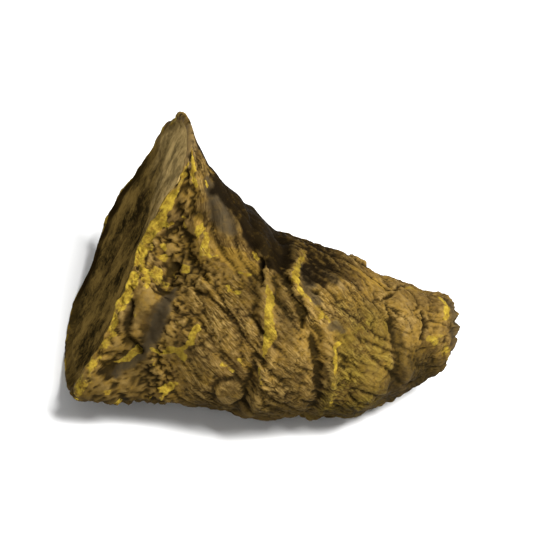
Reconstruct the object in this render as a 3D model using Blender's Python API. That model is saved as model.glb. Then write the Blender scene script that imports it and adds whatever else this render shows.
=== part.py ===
"""Wild turmeric root: one dried chunk of rhizome, cut across at its thick end.

The chunk is a row of sections along a gently bent axis. Lengths are in millimetres until the mesh
is made, and in metres there. "along" runs from 0 at the cut to 1 at the growing tip. "angle" turns
round the axis: 0 faces the front (-Y), 90 degrees the top, 180 the back, 270 the underside.
"inset" is 1 on the skin and falls to 0 at the middle of the cut.
"""

import math

import bmesh
import bpy
import numpy as np
from mathutils import noise

MM = 0.001

# Sections of the chunk: along, middle x, middle y, middle z, mean radius.
SECTIONS = np.array(
    [
        [0.00, -18.0, 8.7, 14.3, 16.8],
        [0.12, -12.0, 5.3, 13.4, 14.1],
        [0.25, -6.2, 2.6, 12.5, 12.8],
        [0.38, -0.5, 0.2, 11.7, 11.7],
        [0.50, 5.1, -0.6, 10.8, 10.8],
        [0.62, 9.9, -0.6, 10.3, 10.1],
        [0.73, 14.7, 0.1, 9.2, 8.4],
        [0.83, 18.6, 0.8, 8.7, 7.0],
        [0.91, 21.6, 1.4, 8.8, 5.6],
        [1.00, 25.3, 2.2, 9.0, 4.1],
    ]
)
AXIS_LENGTH = 46.0
CAP_START = 0.94

# The cut: its outline's radius every 15 degrees, and how far it leans back and turns to the front.
CUT_OUTLINE = np.array(
    [
        *(12.9, 10.7, 10.2, 8.8, 7.9, 10.3, 18.7, 20.5, 21.1, 21.8, 22.3, 21.1),
        *(20.9, 23.0, 21.2, 18.2, 19.7, 18.3, 17.2, 16.6, 17.0, 17.9, 18.4, 15.8),
    ]
)
CUT_OUTLINE_MEAN = 17.5
CUT_OUTLINE_REACH = 0.42
CUT_OUTLINE_REACH_BEHIND = 0.30
BEHIND_FROM = 0.35
CUT_LEAN = math.radians(24.6)
CUT_LEAN_FADE = 0.40
CUT_TURN = math.radians(8.9)
CUT_TURN_FADE = 0.25
CUT_DISH = 0.018
CUT_FACE_EDGE = 0.93

# The flat spot underneath: the height it is worn to, and how smooth the underside is round it.
REST_LEVEL = 0.35
UNDERSIDE_RELIEF = 0.3
UNDERSIDE_FROM = 0.72
UNDERSIDE_WHOLE = 0.93

# The cut's foot bends out over this height, so that its edge keeps some thickness on the table.
FOOT = 1.0

# Growth rings: along at a few angles (degrees, along), ridge height, groove depth before it.
RINGS = (
    (((22, 0.360), (62, 0.322), (150, 0.31), (250, 0.36)), 0.38, 0.42),
    (((2, 0.549), (29, 0.519), (48, 0.500), (64, 0.388), (90, 0.410), (180, 0.44), (270, 0.51)), 0.45, 0.60),
    (((29, 0.775), (80, 0.755), (180, 0.77), (270, 0.79)), 0.18, 0.32),
    (((0, 0.925), (33, 0.890), (87, 0.923), (180, 0.91), (270, 0.93)), 0.15, 0.20),
)
RING_WIDTH = 1.0
RING_GROOVE_WIDTH = 0.9
RING_GROOVE_AHEAD = 1.5
RING_STEPS = 120

# The rings are clearest round this angle, and worn down to this share on the far side. They fade
# where the cosine of the turn from that angle falls through this range.
RING_CLEAR = math.radians(30)
RING_WORN = 0.45
RING_FADE = (-0.1, 0.5)

# Slanting wrinkles: spacing, height, and how fast they wind round the axis (radians per mm).
WRINKLE_SPACING = 3.1
WRINKLE_HEIGHT = 0.75
WRINKLE_MIDDLE = 0.6
WRINKLE_WIND = 0.060
WRINKLE_STRETCH = 0.28
WRINKLE_BEND = 1.1
WRINKLE_BEND_SIZE = 6.0
WRINKLE_DRAW = 6

# The wrinkles lose this share of their height on the tip, from here along and over this stretch.
TIP_WORN = 0.7
TIP_WORN_FROM = 0.88
TIP_WORN_OVER = 0.10

# Broad lumps: size, height where the noise is 1, and which draw of the noise.
LUMPS = ((9.0, -0.6, 22), (4.2, -0.35, 42))

# The furrow beside the cut, as (along, angle in degrees), and the swelling in front of it.
FURROW = ((0.085, 56), (0.080, 37), (0.076, 11), (0.066, 355), (0.034, 343))
FURROW_DEPTH = 1.3
FURROW_WIDTH = 1.2
SWELLING = (0.048, 18)
SWELLING_HEIGHT = 1.1
SWELLING_WIDTH = 2.2

# Scars of shed rootlets, as (along, angle in degrees, radius): low round buttons.
BUTTONS = (
    (0.292, 350, 1.45),
    (0.170, 53, 0.95),
    (0.094, 81, 0.90),
    (0.330, 275, 1.30),
    (0.250, 150, 1.40),
    (0.520, 190, 1.30),
    (0.640, 120, 1.00),
    (0.150, 215, 1.50),
    (0.620, 300, 1.10),
)
BUTTON_HEIGHT = 0.60
BUTTON_EDGE = 0.8

# Perlin noise: how far apart two draws lie, and the gain that brings it to about -1 to 1.
DRAW_STEP = 17.3
NOISE_GAIN = 1.6

# Mesh fineness, and the two rows, as (along, inset), that round the edge of the cut.
SIDES = 104
FACE_ROWS = 6
EDGE_ROWS = ((0.003, 0.975), (0.010, 0.997))
BODY_ROWS = 42
CAP_ROWS = 5
SKIN_START = 0.024

BARK_COLOUR = (0.20, 0.13, 0.045, 1.0)
BARK_ROUGHNESS = 0.85
SHARP_ANGLE = math.radians(55)


def through(xs, ys, x):
    """Smooth values through (xs, ys) that never overshoot, for an array x."""
    step = np.diff(xs)
    slope = np.diff(ys) / step
    tangent = np.zeros_like(ys)
    tangent[0], tangent[-1] = slope[0], slope[-1]
    for i in range(1, len(xs) - 1):
        if slope[i - 1] * slope[i] > 0:
            before = 2 * step[i] + step[i - 1]
            after = step[i] + 2 * step[i - 1]
            tangent[i] = (before + after) / (before / slope[i - 1] + after / slope[i])
    i = np.clip(np.searchsorted(xs, x, side="right") - 1, 0, len(xs) - 2)
    t = (x - xs[i]) / step[i]
    start = (2 * t**3 - 3 * t**2 + 1) * ys[i] + (t**3 - 2 * t**2 + t) * step[i] * tangent[i]
    end = (3 * t**2 - 2 * t**3) * ys[i + 1] + (t**3 - t**2) * step[i] * tangent[i + 1]
    return start + end


def round_the_axis(degrees, values, angle):
    """Smooth closed curve through values at some degrees, for an array angle in radians."""
    xs = np.concatenate([degrees - 360, degrees, degrees + 360])
    return through(xs, np.tile(values, 3), np.degrees(angle) % 360)


def ease(x):
    """0 below 0, 1 above 1, and smooth between."""
    x = np.clip(x, 0.0, 1.0)
    return x * x * (3.0 - 2.0 * x)


def skin(along, inset, angle):
    """Points of the plain form, before any relief."""
    x, y, z, radius = [through(SECTIONS[:, 0], SECTIONS[:, k], along) for k in range(1, 5)]
    steps = np.arange(len(CUT_OUTLINE)) * 360.0 / len(CUT_OUTLINE)
    outline = round_the_axis(steps, CUT_OUTLINE, angle) / CUT_OUTLINE_MEAN
    behind = ease((-np.cos(angle) - BEHIND_FROM) / (1.0 - BEHIND_FROM))
    reach = CUT_OUTLINE_REACH + CUT_OUTLINE_REACH_BEHIND * behind
    radius = radius * inset * (1.0 + ease(1.0 - along / reach) * (outline - 1.0))
    radius = radius * np.sqrt(1.0 - np.clip((along - CAP_START) / (1.0 - CAP_START), 0.0, 1.0) ** 2)
    lean = CUT_LEAN * np.exp(-along / CUT_LEAN_FADE)
    turn = CUT_TURN * np.exp(-along / CUT_TURN_FADE)
    front, up = radius * np.cos(angle), radius * np.sin(angle)
    return np.stack(
        [x + up * np.sin(lean) - front * np.sin(turn), y - front * np.cos(turn), z + up * np.cos(lean)],
        axis=-1,
    )


def outward(along, inset, angle):
    """Unit normals of the plain form, pointing out."""
    step = 0.002
    a0, a1 = np.clip(along - step, 0.0, 1.0), np.clip(along + step, 0.0, 1.0)
    forward = skin(a1, inset, angle) - skin(a0, inset, angle)
    around = skin(along, inset, angle + step) - skin(along, inset, angle - step)
    normal = np.cross(forward, around)
    return normal / np.maximum(np.linalg.norm(normal, axis=-1, keepdims=True), 1e-9)


def rough(points, size, draw):
    """Perlin noise of about -1 to 1 whose lumps are about size across."""
    flat = (points.reshape(-1, 3) / size + draw * DRAW_STEP).tolist()
    values = [noise.noise(p) for p in flat]
    return np.array(values).reshape(points.shape[:-1]) * NOISE_GAIN


def wrinkles(along, angle):
    """Rounded folds with sharp creases between, winding slowly round the axis."""
    ahead = along * AXIS_LENGTH
    radius = through(SECTIONS[:, 0], SECTIONS[:, 4], along)
    turned = angle + WRINKLE_WIND * ahead
    wound = np.stack(
        [radius * np.cos(turned), radius * np.sin(turned), ahead * WRINKLE_STRETCH], axis=-1
    )
    bend = np.stack([rough(wound, WRINKLE_BEND_SIZE, draw) for draw in (3, 4, 5)], axis=-1)
    folds = rough(wound + WRINKLE_BEND * bend, WRINKLE_SPACING, WRINKLE_DRAW)
    worn = 1.0 - TIP_WORN * ease((along - TIP_WORN_FROM) / TIP_WORN_OVER)
    return (np.sqrt(np.abs(folds)) - WRINKLE_MIDDLE) * worn


def ring_place(marks, angle):
    """How far along a ring lies at each angle, through its marks and closed on itself."""
    marks = np.array(sorted(marks), dtype=float)
    return round_the_axis(marks[:, 0], marks[:, 1], angle)


def place(along, degrees):
    """One point on the plain skin."""
    one = np.ones(1)
    return skin(along * one, one, math.radians(degrees) * one)[0]


def rings(points, along, angle):
    """Height of the growth rings: a ridge with a groove on its cut side."""
    height = np.zeros_like(along)
    clear = ease((np.cos(angle - RING_CLEAR) - RING_FADE[0]) / (RING_FADE[1] - RING_FADE[0]))
    turn = np.linspace(0.0, 2 * math.pi, RING_STEPS + 1)
    for marks, ridge, groove in RINGS:
        line = skin(ring_place(marks, turn), np.ones_like(turn), turn)
        side = np.sign(along - ring_place(marks, angle))
        ahead = side * distance_to_path(points, line)
        height += ridge * np.exp(-((ahead / RING_WIDTH) ** 2))
        height -= groove * np.exp(-(((ahead + RING_GROOVE_AHEAD) / RING_GROOVE_WIDTH) ** 2))
    return height * (RING_WORN + (1.0 - RING_WORN) * clear)


def distance_to_path(points, path):
    """Shortest distance from each point to a chain of straight runs."""
    nearest = np.full(points.shape[:-1], 1e9)
    for start, end in zip(path[:-1], path[1:]):
        run = end - start
        t = np.clip((points - start) @ run / (run @ run), 0.0, 1.0)
        nearest = np.minimum(nearest, np.linalg.norm(points - start - t[..., None] * run, axis=-1))
    return nearest


def on_skin(inset):
    """0 on the cut face and 1 on the skin."""
    return ease((inset - CUT_FACE_EDGE) / (1.0 - CUT_FACE_EDGE))


def relief(points, along, inset, angle):
    """How far the skin stands out from the plain form."""
    height = wrinkles(along, angle) * WRINKLE_HEIGHT
    height += rings(points, along, angle)
    furrow = distance_to_path(points, [place(a, d) for a, d in FURROW])
    height -= FURROW_DEPTH * np.exp(-((furrow / FURROW_WIDTH) ** 2))
    swelling = np.linalg.norm(points - place(*SWELLING), axis=-1)
    height += SWELLING_HEIGHT * np.exp(-((swelling / SWELLING_WIDTH) ** 2))
    for button_along, degrees, radius in BUTTONS:
        off = np.linalg.norm(points - place(button_along, degrees), axis=-1)
        height += BUTTON_HEIGHT * ease((radius + BUTTON_EDGE - off) / BUTTON_EDGE)
    for size, amount, draw in LUMPS:
        height += amount * rough(points, size, draw)
    below = ease((-np.sin(angle) - UNDERSIDE_FROM) / (UNDERSIDE_WHOLE - UNDERSIDE_FROM))
    return height * on_skin(inset) * (1.0 - (1.0 - UNDERSIDE_RELIEF) * below)


def rows():
    """(along, inset) of every row of points, from near the middle of the cut to near the tip."""
    made = []
    for k in range(1, FACE_ROWS + 1):
        inset = CUT_FACE_EDGE * math.sqrt(k / FACE_ROWS)
        made.append((CUT_DISH * (1.0 - (inset / CUT_FACE_EDGE) ** 2), inset))
    made.extend(EDGE_ROWS)
    for k in range(BODY_ROWS):
        made.append((SKIN_START + (CAP_START - SKIN_START) * k / (BODY_ROWS - 1), 1.0))
    for k in range(1, CAP_ROWS):
        made.append((CAP_START + (1.0 - CAP_START) * math.sin(k / CAP_ROWS * math.pi / 2), 1.0))
    return made


def grown_points():
    """All points of the chunk, row by row, then the middle of the cut and the tip.

    Skin below the table is worn flat, and the foot of the cut is bent out just above it.
    """
    table = np.array(rows())
    turn = np.arange(SIDES) * 2 * math.pi / SIDES
    along = np.repeat(table[:, 0], SIDES).reshape(-1, SIDES)
    inset = np.repeat(table[:, 1], SIDES).reshape(-1, SIDES)
    angle = np.tile(turn, (len(table), 1))
    points = skin(along, inset, angle)
    points = points + outward(along, inset, angle) * relief(points, along, inset, angle)[..., None]
    foot = FOOT * (1.0 - on_skin(inset))
    above = points[..., 2] - REST_LEVEL
    points[..., 2] = REST_LEVEL + (above + np.sqrt(above**2 + foot**2)) / 2
    zero = np.zeros(1)
    middle = skin(zero + CUT_DISH, zero, zero)
    tip = skin(zero + 1.0, zero, zero)
    return np.concatenate([points.reshape(-1, 3), middle, tip]), len(table)


def rested(points):
    """The points with the worn underside at z = 0 and the box centred over the origin."""
    low, high = points.min(axis=0), points.max(axis=0)
    return points - [(low[0] + high[0]) / 2, (low[1] + high[1]) / 2, REST_LEVEL]


def bark_material():
    material = bpy.data.materials.new("bark")
    material.use_nodes = True
    shader = material.node_tree.nodes["Principled BSDF"]
    shader.inputs["Base Color"].default_value = BARK_COLOUR
    shader.inputs["Roughness"].default_value = BARK_ROUGHNESS
    shader.inputs["Metallic"].default_value = 0.0
    return material


def turmeric_root():
    points, row_count = grown_points()
    points = rested(points) * MM
    mesh = bpy.data.meshes.new("turmeric_root")
    work = bmesh.new()
    verts = [work.verts.new(p) for p in points]
    middle, tip = verts[-2], verts[-1]
    last = (row_count - 1) * SIDES
    for s in range(SIDES):
        n = (s + 1) % SIDES
        work.faces.new((middle, verts[n], verts[s]))
        work.faces.new((tip, verts[last + s], verts[last + n]))
        for r in range(row_count - 1):
            a, b = r * SIDES, (r + 1) * SIDES
            work.faces.new((verts[a + s], verts[a + n], verts[b + n], verts[b + s]))
    bmesh.ops.triangulate(work, faces=work.faces[:])
    bmesh.ops.recalc_face_normals(work, faces=work.faces[:])
    work.to_mesh(mesh)
    work.free()
    mesh.shade_smooth()
    mesh.set_sharp_from_angle(angle=SHARP_ANGLE)
    root = bpy.data.objects.new("turmeric_root", mesh)
    root.data.materials.append(bark_material())
    bpy.context.scene.collection.objects.link(root)
    return root


def main():
    for old in list(bpy.data.objects):
        bpy.data.objects.remove(old, do_unlink=True)
    root = turmeric_root()
    print(root.name, len(root.data.polygons), "triangles")


main()
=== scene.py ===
# %% [markdown]
# # A dried wild turmeric root
# The real object is one chunk of rhizome, the underground stem of the plant. It was cut across at
# its thick end and dried until the skin shrank into folds. This lesson makes its surface: first the
# form, then coarse folds and rings, then fine folds and crumbs, and last the colours. The solid
# model of the root is loaded first, and every later step keeps to its size and place.

# %% Load the solid model
import math

import bpy
import numpy as np
from mathutils import Matrix, Vector, noise


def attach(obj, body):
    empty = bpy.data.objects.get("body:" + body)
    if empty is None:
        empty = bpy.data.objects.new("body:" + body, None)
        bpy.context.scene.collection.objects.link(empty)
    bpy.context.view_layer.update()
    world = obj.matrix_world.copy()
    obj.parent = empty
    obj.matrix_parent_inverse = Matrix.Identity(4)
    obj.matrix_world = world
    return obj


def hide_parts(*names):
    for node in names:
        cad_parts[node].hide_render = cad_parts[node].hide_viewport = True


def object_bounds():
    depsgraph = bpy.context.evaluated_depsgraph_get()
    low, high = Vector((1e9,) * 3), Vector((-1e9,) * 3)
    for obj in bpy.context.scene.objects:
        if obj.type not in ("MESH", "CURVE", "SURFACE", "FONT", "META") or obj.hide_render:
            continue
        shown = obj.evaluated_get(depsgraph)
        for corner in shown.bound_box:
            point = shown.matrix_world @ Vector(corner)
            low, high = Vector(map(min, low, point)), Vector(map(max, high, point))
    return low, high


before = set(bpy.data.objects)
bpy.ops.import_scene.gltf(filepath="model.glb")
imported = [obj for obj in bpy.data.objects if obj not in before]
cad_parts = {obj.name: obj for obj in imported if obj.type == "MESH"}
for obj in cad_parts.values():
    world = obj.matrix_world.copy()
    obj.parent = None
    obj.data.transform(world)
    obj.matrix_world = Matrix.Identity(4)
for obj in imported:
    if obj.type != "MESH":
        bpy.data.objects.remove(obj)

MM = 0.001
NODE = "turmeric_root"
solid_low, solid_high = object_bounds()
print("solid in mm:", [round(v / MM, 1) for v in solid_high - solid_low])

# %% [markdown]
# ## The plain form
# A rhizome is a stout, gently bent stem, so its form is a row of sections along an axis. It could
# be sculpted by hand, but sections keep it exact: the numbers below are those of the solid model,
# in millimetres. "along" runs from 0 at the cut to 1 at the growing tip. "angle" turns round the
# axis, 0 at the front and 90 degrees on top. "inset" is 1 on the skin and 0 in the cut's middle.

# %% Sections of the root, each as (along, x, y, z, radius)
SECTIONS = np.array(
    [
        [0.00, -18.0, 8.7, 14.3, 16.8],
        [0.12, -12.0, 5.3, 13.4, 14.1],
        [0.25, -6.2, 2.6, 12.5, 12.8],
        [0.38, -0.5, 0.2, 11.7, 11.7],
        [0.50, 5.1, -0.6, 10.8, 10.8],
        [0.62, 9.9, -0.6, 10.3, 10.1],
        [0.73, 14.7, 0.1, 9.2, 8.4],
        [0.83, 18.6, 0.8, 8.7, 7.0],
        [0.91, 21.6, 1.4, 8.8, 5.6],
        [1.00, 25.3, 2.2, 9.0, 4.1],
    ]
)
print("sections:", len(SECTIONS), "with their middles from x =", SECTIONS[0, 1], "to", SECTIONS[-1, 1])

# %% Smooth lines through numbers
def through(xs, ys, x):
    """Smooth values through (xs, ys) that never overshoot, for an array x."""
    step = np.diff(xs)
    slope = np.diff(ys) / step
    tangent = np.zeros_like(ys)
    tangent[0], tangent[-1] = slope[0], slope[-1]
    for i in range(1, len(xs) - 1):
        if slope[i - 1] * slope[i] > 0:
            before = 2 * step[i] + step[i - 1]
            after = step[i] + 2 * step[i - 1]
            tangent[i] = (before + after) / (before / slope[i - 1] + after / slope[i])
    i = np.clip(np.searchsorted(xs, x, side="right") - 1, 0, len(xs) - 2)
    t = (x - xs[i]) / step[i]
    start = (2 * t**3 - 3 * t**2 + 1) * ys[i] + (t**3 - 2 * t**2 + t) * step[i] * tangent[i]
    end = (3 * t**2 - 2 * t**3) * ys[i + 1] + (t**3 - t**2) * step[i] * tangent[i + 1]
    return start + end


def round_the_axis(degrees, values, angle):
    """Smooth closed curve through values at some degrees, for an array angle in radians."""
    xs = np.concatenate([degrees - 360, degrees, degrees + 360])
    return through(xs, np.tile(values, 3), np.degrees(angle) % 360)


def ease(x):
    """0 below 0, 1 above 1, and smooth between."""
    x = np.clip(x, 0.0, 1.0)
    return x * x * (3.0 - 2.0 * x)


def rise(x, start, over):
    """0 up to start, 1 from start + over, and smooth between."""
    return ease((x - start) / over)


def fall(x, end, over):
    """1 up to end - over, 0 from end, and smooth between."""
    return ease((end - x) / over)


radius_half_along = through(SECTIONS[:, 0], SECTIONS[:, 4], np.array([0.5]))
print("radius half along in mm:", radius_half_along.round(1))

# %% Points of the plain form
CAP_START = 0.94
CUT_OUTLINE = np.array(
    [
        *(12.9, 10.7, 10.2, 8.8, 7.9, 10.3, 18.7, 20.5, 21.1, 21.8, 22.3, 21.1),
        *(20.9, 23.0, 21.2, 18.2, 19.7, 18.3, 17.2, 16.6, 17.0, 17.9, 18.4, 15.8),
    ]
)
CUT_OUTLINE_MEAN = 17.5
CUT_OUTLINE_REACH = 0.42
CUT_OUTLINE_REACH_BEHIND = 0.30
BEHIND_FROM = 0.35
CUT_LEAN, CUT_LEAN_FADE = math.radians(24.6), 0.40
CUT_TURN, CUT_TURN_FADE = math.radians(8.9), 0.25


def skin(along, inset, angle):
    """Points of the plain form, before any relief."""
    x, y, z, radius = [through(SECTIONS[:, 0], SECTIONS[:, k], along) for k in range(1, 5)]
    steps = np.arange(len(CUT_OUTLINE)) * 360.0 / len(CUT_OUTLINE)
    outline = round_the_axis(steps, CUT_OUTLINE, angle) / CUT_OUTLINE_MEAN
    behind = rise(-np.cos(angle), BEHIND_FROM, 1.0 - BEHIND_FROM)
    reach = CUT_OUTLINE_REACH + CUT_OUTLINE_REACH_BEHIND * behind
    radius = radius * inset * (1.0 + ease(1.0 - along / reach) * (outline - 1.0))
    radius = radius * np.sqrt(1.0 - np.clip((along - CAP_START) / (1.0 - CAP_START), 0.0, 1.0) ** 2)
    lean = CUT_LEAN * np.exp(-along / CUT_LEAN_FADE)
    turn = CUT_TURN * np.exp(-along / CUT_TURN_FADE)
    front, up = radius * np.cos(angle), radius * np.sin(angle)
    return np.stack(
        [x + up * np.sin(lean) - front * np.sin(turn), y - front * np.cos(turn), z + up * np.cos(lean)],
        axis=-1,
    )


def place(along, degrees):
    """One point on the plain skin."""
    one = np.ones(1)
    return skin(along * one, one, math.radians(degrees) * one)[0]


print("peak of the cut in mm:", place(0.0, 90).round(1), "and tip:", place(1.0, 0).round(1))

# %% [markdown]
# ## A fine grid over the form
# The whole surface is one grid: rows run from the middle of the cut, over its rounded rim and along
# the skin to the tip, and every row goes once round. A subdivided solid would spread its points
# evenly, while the grid puts them a quarter of a millimetre apart where the folds are.

# %% Rows and sides of the grid
CUT_DISH = 0.018
CUT_FACE_EDGE = 0.93
SKIN_START = 0.024
SIDES = 432
FACE_ROWS = 38
RIM_ROWS = 12
SKIN_ROWS = 160
CAP_ROWS = 13
RIM_BEND = 1.4


def profile():
    """(along, inset) of every row."""
    rows = []
    for k in range(1, FACE_ROWS + 1):
        inset = CUT_FACE_EDGE * k / FACE_ROWS
        rows.append((CUT_DISH * (1.0 - (inset / CUT_FACE_EDGE) ** 2), inset))
    for k in range(1, RIM_ROWS + 1):
        turn = k / RIM_ROWS * math.pi / 2
        inset = CUT_FACE_EDGE + (1.0 - CUT_FACE_EDGE) * math.sin(turn)
        rows.append((SKIN_START * (1.0 - math.cos(turn)) ** RIM_BEND, inset))
    for k in range(1, SKIN_ROWS + 1):
        rows.append((SKIN_START + (CAP_START - SKIN_START) * k / SKIN_ROWS, 1.0))
    for k in range(1, CAP_ROWS):
        rows.append((CAP_START + (1.0 - CAP_START) * math.sin(k / CAP_ROWS * math.pi / 2), 1.0))
    return np.array(rows)


rows = profile()
along = np.repeat(rows[:, 0], SIDES).reshape(-1, SIDES)
inset = np.repeat(rows[:, 1], SIDES).reshape(-1, SIDES)
angle = np.tile(np.arange(SIDES) * 2 * math.pi / SIDES, (len(rows), 1))
plain = skin(along, inset, angle)
print("grid:", plain.shape[0], "rows of", plain.shape[1])

# %% [markdown]
# ## Coarse relief
# These are the forms that can be seen from a step away, and the solid model has them too: broad
# lumps, slanting folds, growth rings, a furrow beside the cut and the round scars of rootlets. Each
# is a height above the plain form, in millimetres. Smooth noise has a sharp crease wherever
# its sign is dropped, between two rounded folds, which is how skin shrinks on a drying stem.

# %% Noise, and distance to a drawn line
DRAW_STEP = 17.3
NOISE_GAIN = 1.6


def rough(points, size, draw):
    """Smooth noise of about -1 to 1 whose lumps are about size across."""
    flat = (points.reshape(-1, 3) / size + draw * DRAW_STEP).tolist()
    values = [noise.noise(p) for p in flat]
    return np.array(values).reshape(points.shape[:-1]) * NOISE_GAIN


def layered(layers):
    """Layers of noise on the plain form, each given as (height, size, draw)."""
    return sum(height * rough(plain, size, draw) for height, size, draw in layers)


def distance_to_path(points, path):
    """Shortest distance from each point to a chain of straight runs."""
    nearest = np.full(points.shape[:-1], 1e9)
    for start, end in zip(path[:-1], path[1:]):
        run = end - start
        t = np.clip((points - start) @ run / max(run @ run, 1e-9), 0.0, 1.0)
        nearest = np.minimum(nearest, np.linalg.norm(points - start - t[..., None] * run, axis=-1))
    return nearest


sample = rough(plain[::20, ::24], 3.0, 1)
print("noise with lumps of 3 mm:", round(float(sample.min()), 2), "to", round(float(sample.max()), 2))

# %% [markdown]
# ## Slanting folds
# The skin lies in folds about 3 mm apart, which wind slowly round the stem. They could be carved one
# by one. Here the noise is read in a space that is stretched along the axis and wound round it, so
# all its creases run at the same slant, also on the sides that the photograph hides.

# %% Slanting folds
AXIS_LENGTH = 46.0
WRINKLE_SPACING = 3.1
WRINKLE_WIND = 0.060
WRINKLE_STRETCH = 0.28
WRINKLE_BEND = 1.1
WRINKLE_BEND_SIZE = 6.0
WRINKLE_DRAW = 6

ahead = along * AXIS_LENGTH
mean_radius = through(SECTIONS[:, 0], SECTIONS[:, 4], along) * inset


def winding(wind, stretch):
    """The skin's points in a space that winds round the axis and is stretched along it."""
    turned = angle + wind * ahead
    return np.stack([mean_radius * np.cos(turned), mean_radius * np.sin(turned), ahead * stretch], axis=-1)


def folds(space, spacing, bend, bend_size, draw):
    """0 in the creases and about 1 on the backs of folds that wind slowly round the axis."""
    bends = np.stack([rough(space, bend_size, draw - k) for k in (3, 2, 1)], axis=-1)
    return np.sqrt(np.abs(rough(space + bend * bends, spacing, draw)))


coarse_wound = winding(WRINKLE_WIND, WRINKLE_STRETCH)
coarse_folds = folds(coarse_wound, WRINKLE_SPACING, WRINKLE_BEND, WRINKLE_BEND_SIZE, WRINKLE_DRAW)
print("coarse folds:", round(float(coarse_folds.mean()), 2), "on average")

# %% [markdown]
# ## Growth rings
# A rhizome keeps a ring wherever a scale leaf sat, and four of them cross this chunk. Each is drawn
# through a few marks of (degrees, along), with the height of its ridge and the depth of the groove
# on its cut side. A torus would look turned on a lathe, while a drawn line can step and wander.

# %% Growth rings
RINGS = (
    (((22, 0.360), (62, 0.322), (150, 0.31), (250, 0.36)), 0.38, 0.42),
    (((2, 0.549), (29, 0.519), (48, 0.500), (64, 0.388), (90, 0.410), (180, 0.44), (270, 0.51)), 0.45, 0.60),
    (((29, 0.775), (80, 0.755), (180, 0.77), (270, 0.79)), 0.18, 0.32),
    (((0, 0.925), (33, 0.890), (87, 0.923), (180, 0.91), (270, 0.93)), 0.15, 0.20),
)
RING_WIDTH = 1.0
RING_GROOVE_WIDTH = 0.9
RING_GROOVE_OFF = 1.5
RING_STEPS = 120
RING_CLEAR = math.radians(30)
RING_CLEAR_FROM, RING_CLEAR_OVER = -0.1, 0.6
RING_WORN = 0.45
RING_UNEVEN = ((0.45, 2.4, 49),)
RING_DRIFT = ((0.35, 1.6, 48),)


def ring_place(marks, angle):
    """How far along a ring lies at each angle, through its marks and closed on itself."""
    marks = np.array(sorted(marks), dtype=float)
    return round_the_axis(marks[:, 0], marks[:, 1], angle)


def ahead_of_ring(marks):
    """Distance from a ring's ridge, above 0 towards the tip and below 0 towards the cut."""
    turn = np.linspace(0.0, 2 * math.pi, RING_STEPS + 1)
    line = skin(ring_place(marks, turn), np.ones_like(turn), turn)
    return np.sign(along - ring_place(marks, angle)) * distance_to_path(plain, line)


ring_ahead = [ahead_of_ring(marks) for marks, ridge, groove in RINGS]
ring_strength = 1.0 + layered(RING_UNEVEN)
ring_drift = layered(RING_DRIFT)
rings = np.zeros_like(along)
for off, (marks, ridge, groove) in zip(ring_ahead, RINGS):
    off = off + ring_drift
    rings += ridge * np.exp(-((off / RING_WIDTH) ** 2))
    rings -= ring_strength * groove * np.exp(-(((off + RING_GROOVE_OFF) / RING_GROOVE_WIDTH) ** 2))
ring_clear = rise(np.cos(angle - RING_CLEAR), RING_CLEAR_FROM, RING_CLEAR_OVER)
rings *= RING_WORN + (1.0 - RING_WORN) * ring_clear
print("rings in mm:", round(float(rings.min()), 2), "to", round(float(rings.max()), 2))

# %% [markdown]
# ## Furrow, swelling and rootlet scars
# A furrow runs down the front beside the cut, past a swelling that dried less than the skin round
# it. The round scars are where rootlets broke off. The first three are seen in the photograph and
# the other six are guessed. All of them are short and single, so each is placed one by one.

# %% Furrow, swelling and rootlet scars
FURROW = ((0.085, 56), (0.080, 37), (0.076, 11), (0.066, 355), (0.034, 343))
FURROW_DEPTH = 1.3
FURROW_WIDTH = 1.2
SWELLING = (0.048, 18)
SWELLING_HEIGHT = 1.1
SWELLING_WIDTH = 2.2
BUTTONS = (
    (0.292, 350, 1.45),
    (0.170, 53, 0.95),
    (0.094, 81, 0.90),
    (0.330, 275, 1.30),
    (0.250, 150, 1.40),
    (0.520, 190, 1.30),
    (0.640, 120, 1.00),
    (0.150, 215, 1.50),
    (0.620, 300, 1.10),
)
BUTTON_HEIGHT = 0.60
BUTTON_EDGE = 0.45

furrow = np.exp(-((distance_to_path(plain, [place(a, d) for a, d in FURROW]) / FURROW_WIDTH) ** 2))
swelling_off = np.linalg.norm(plain - place(*SWELLING), axis=-1)
swelling = np.exp(-((swelling_off / SWELLING_WIDTH) ** 2))
buttons = np.zeros_like(along)
for button_along, degrees, radius in BUTTONS:
    off = np.linalg.norm(plain - place(button_along, degrees), axis=-1)
    buttons = np.maximum(buttons, fall(off, radius + BUTTON_EDGE, BUTTON_EDGE))
print("rootlet scars:", len(BUTTONS), "of", BUTTON_HEIGHT, "mm")
print("furrow and swelling in mm:", -FURROW_DEPTH, SWELLING_HEIGHT)

# %% [markdown]
# ## The coarse form
# The heights are added up and laid on the plain form along its normals. They fade underneath, where
# the weight has pressed the skin flat, and at the tip, which is worn. The cut has none of them.

# %% Add the coarse relief up
WRINKLE_HEIGHT = 0.60
WRINKLE_MIDDLE = 0.6
LUMPS = ((9.0, -0.6, 22), (4.2, -0.35, 42))
UNDERSIDE_RELIEF = 0.3
UNDERSIDE_FROM = 0.72
UNDERSIDE_WHOLE = 0.93
TIP_WORN = 0.7
TIP_WORN_FROM, TIP_WORN_OVER = 0.88, 0.10


def normals_of(points):
    """Unit normals of the grid, pointing out."""
    around = np.roll(points, -1, axis=1) - np.roll(points, 1, axis=1)
    onward = np.gradient(points, axis=0)
    normal = np.cross(onward, around)
    return normal / np.maximum(np.linalg.norm(normal, axis=-1, keepdims=True), 1e-12)


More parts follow.
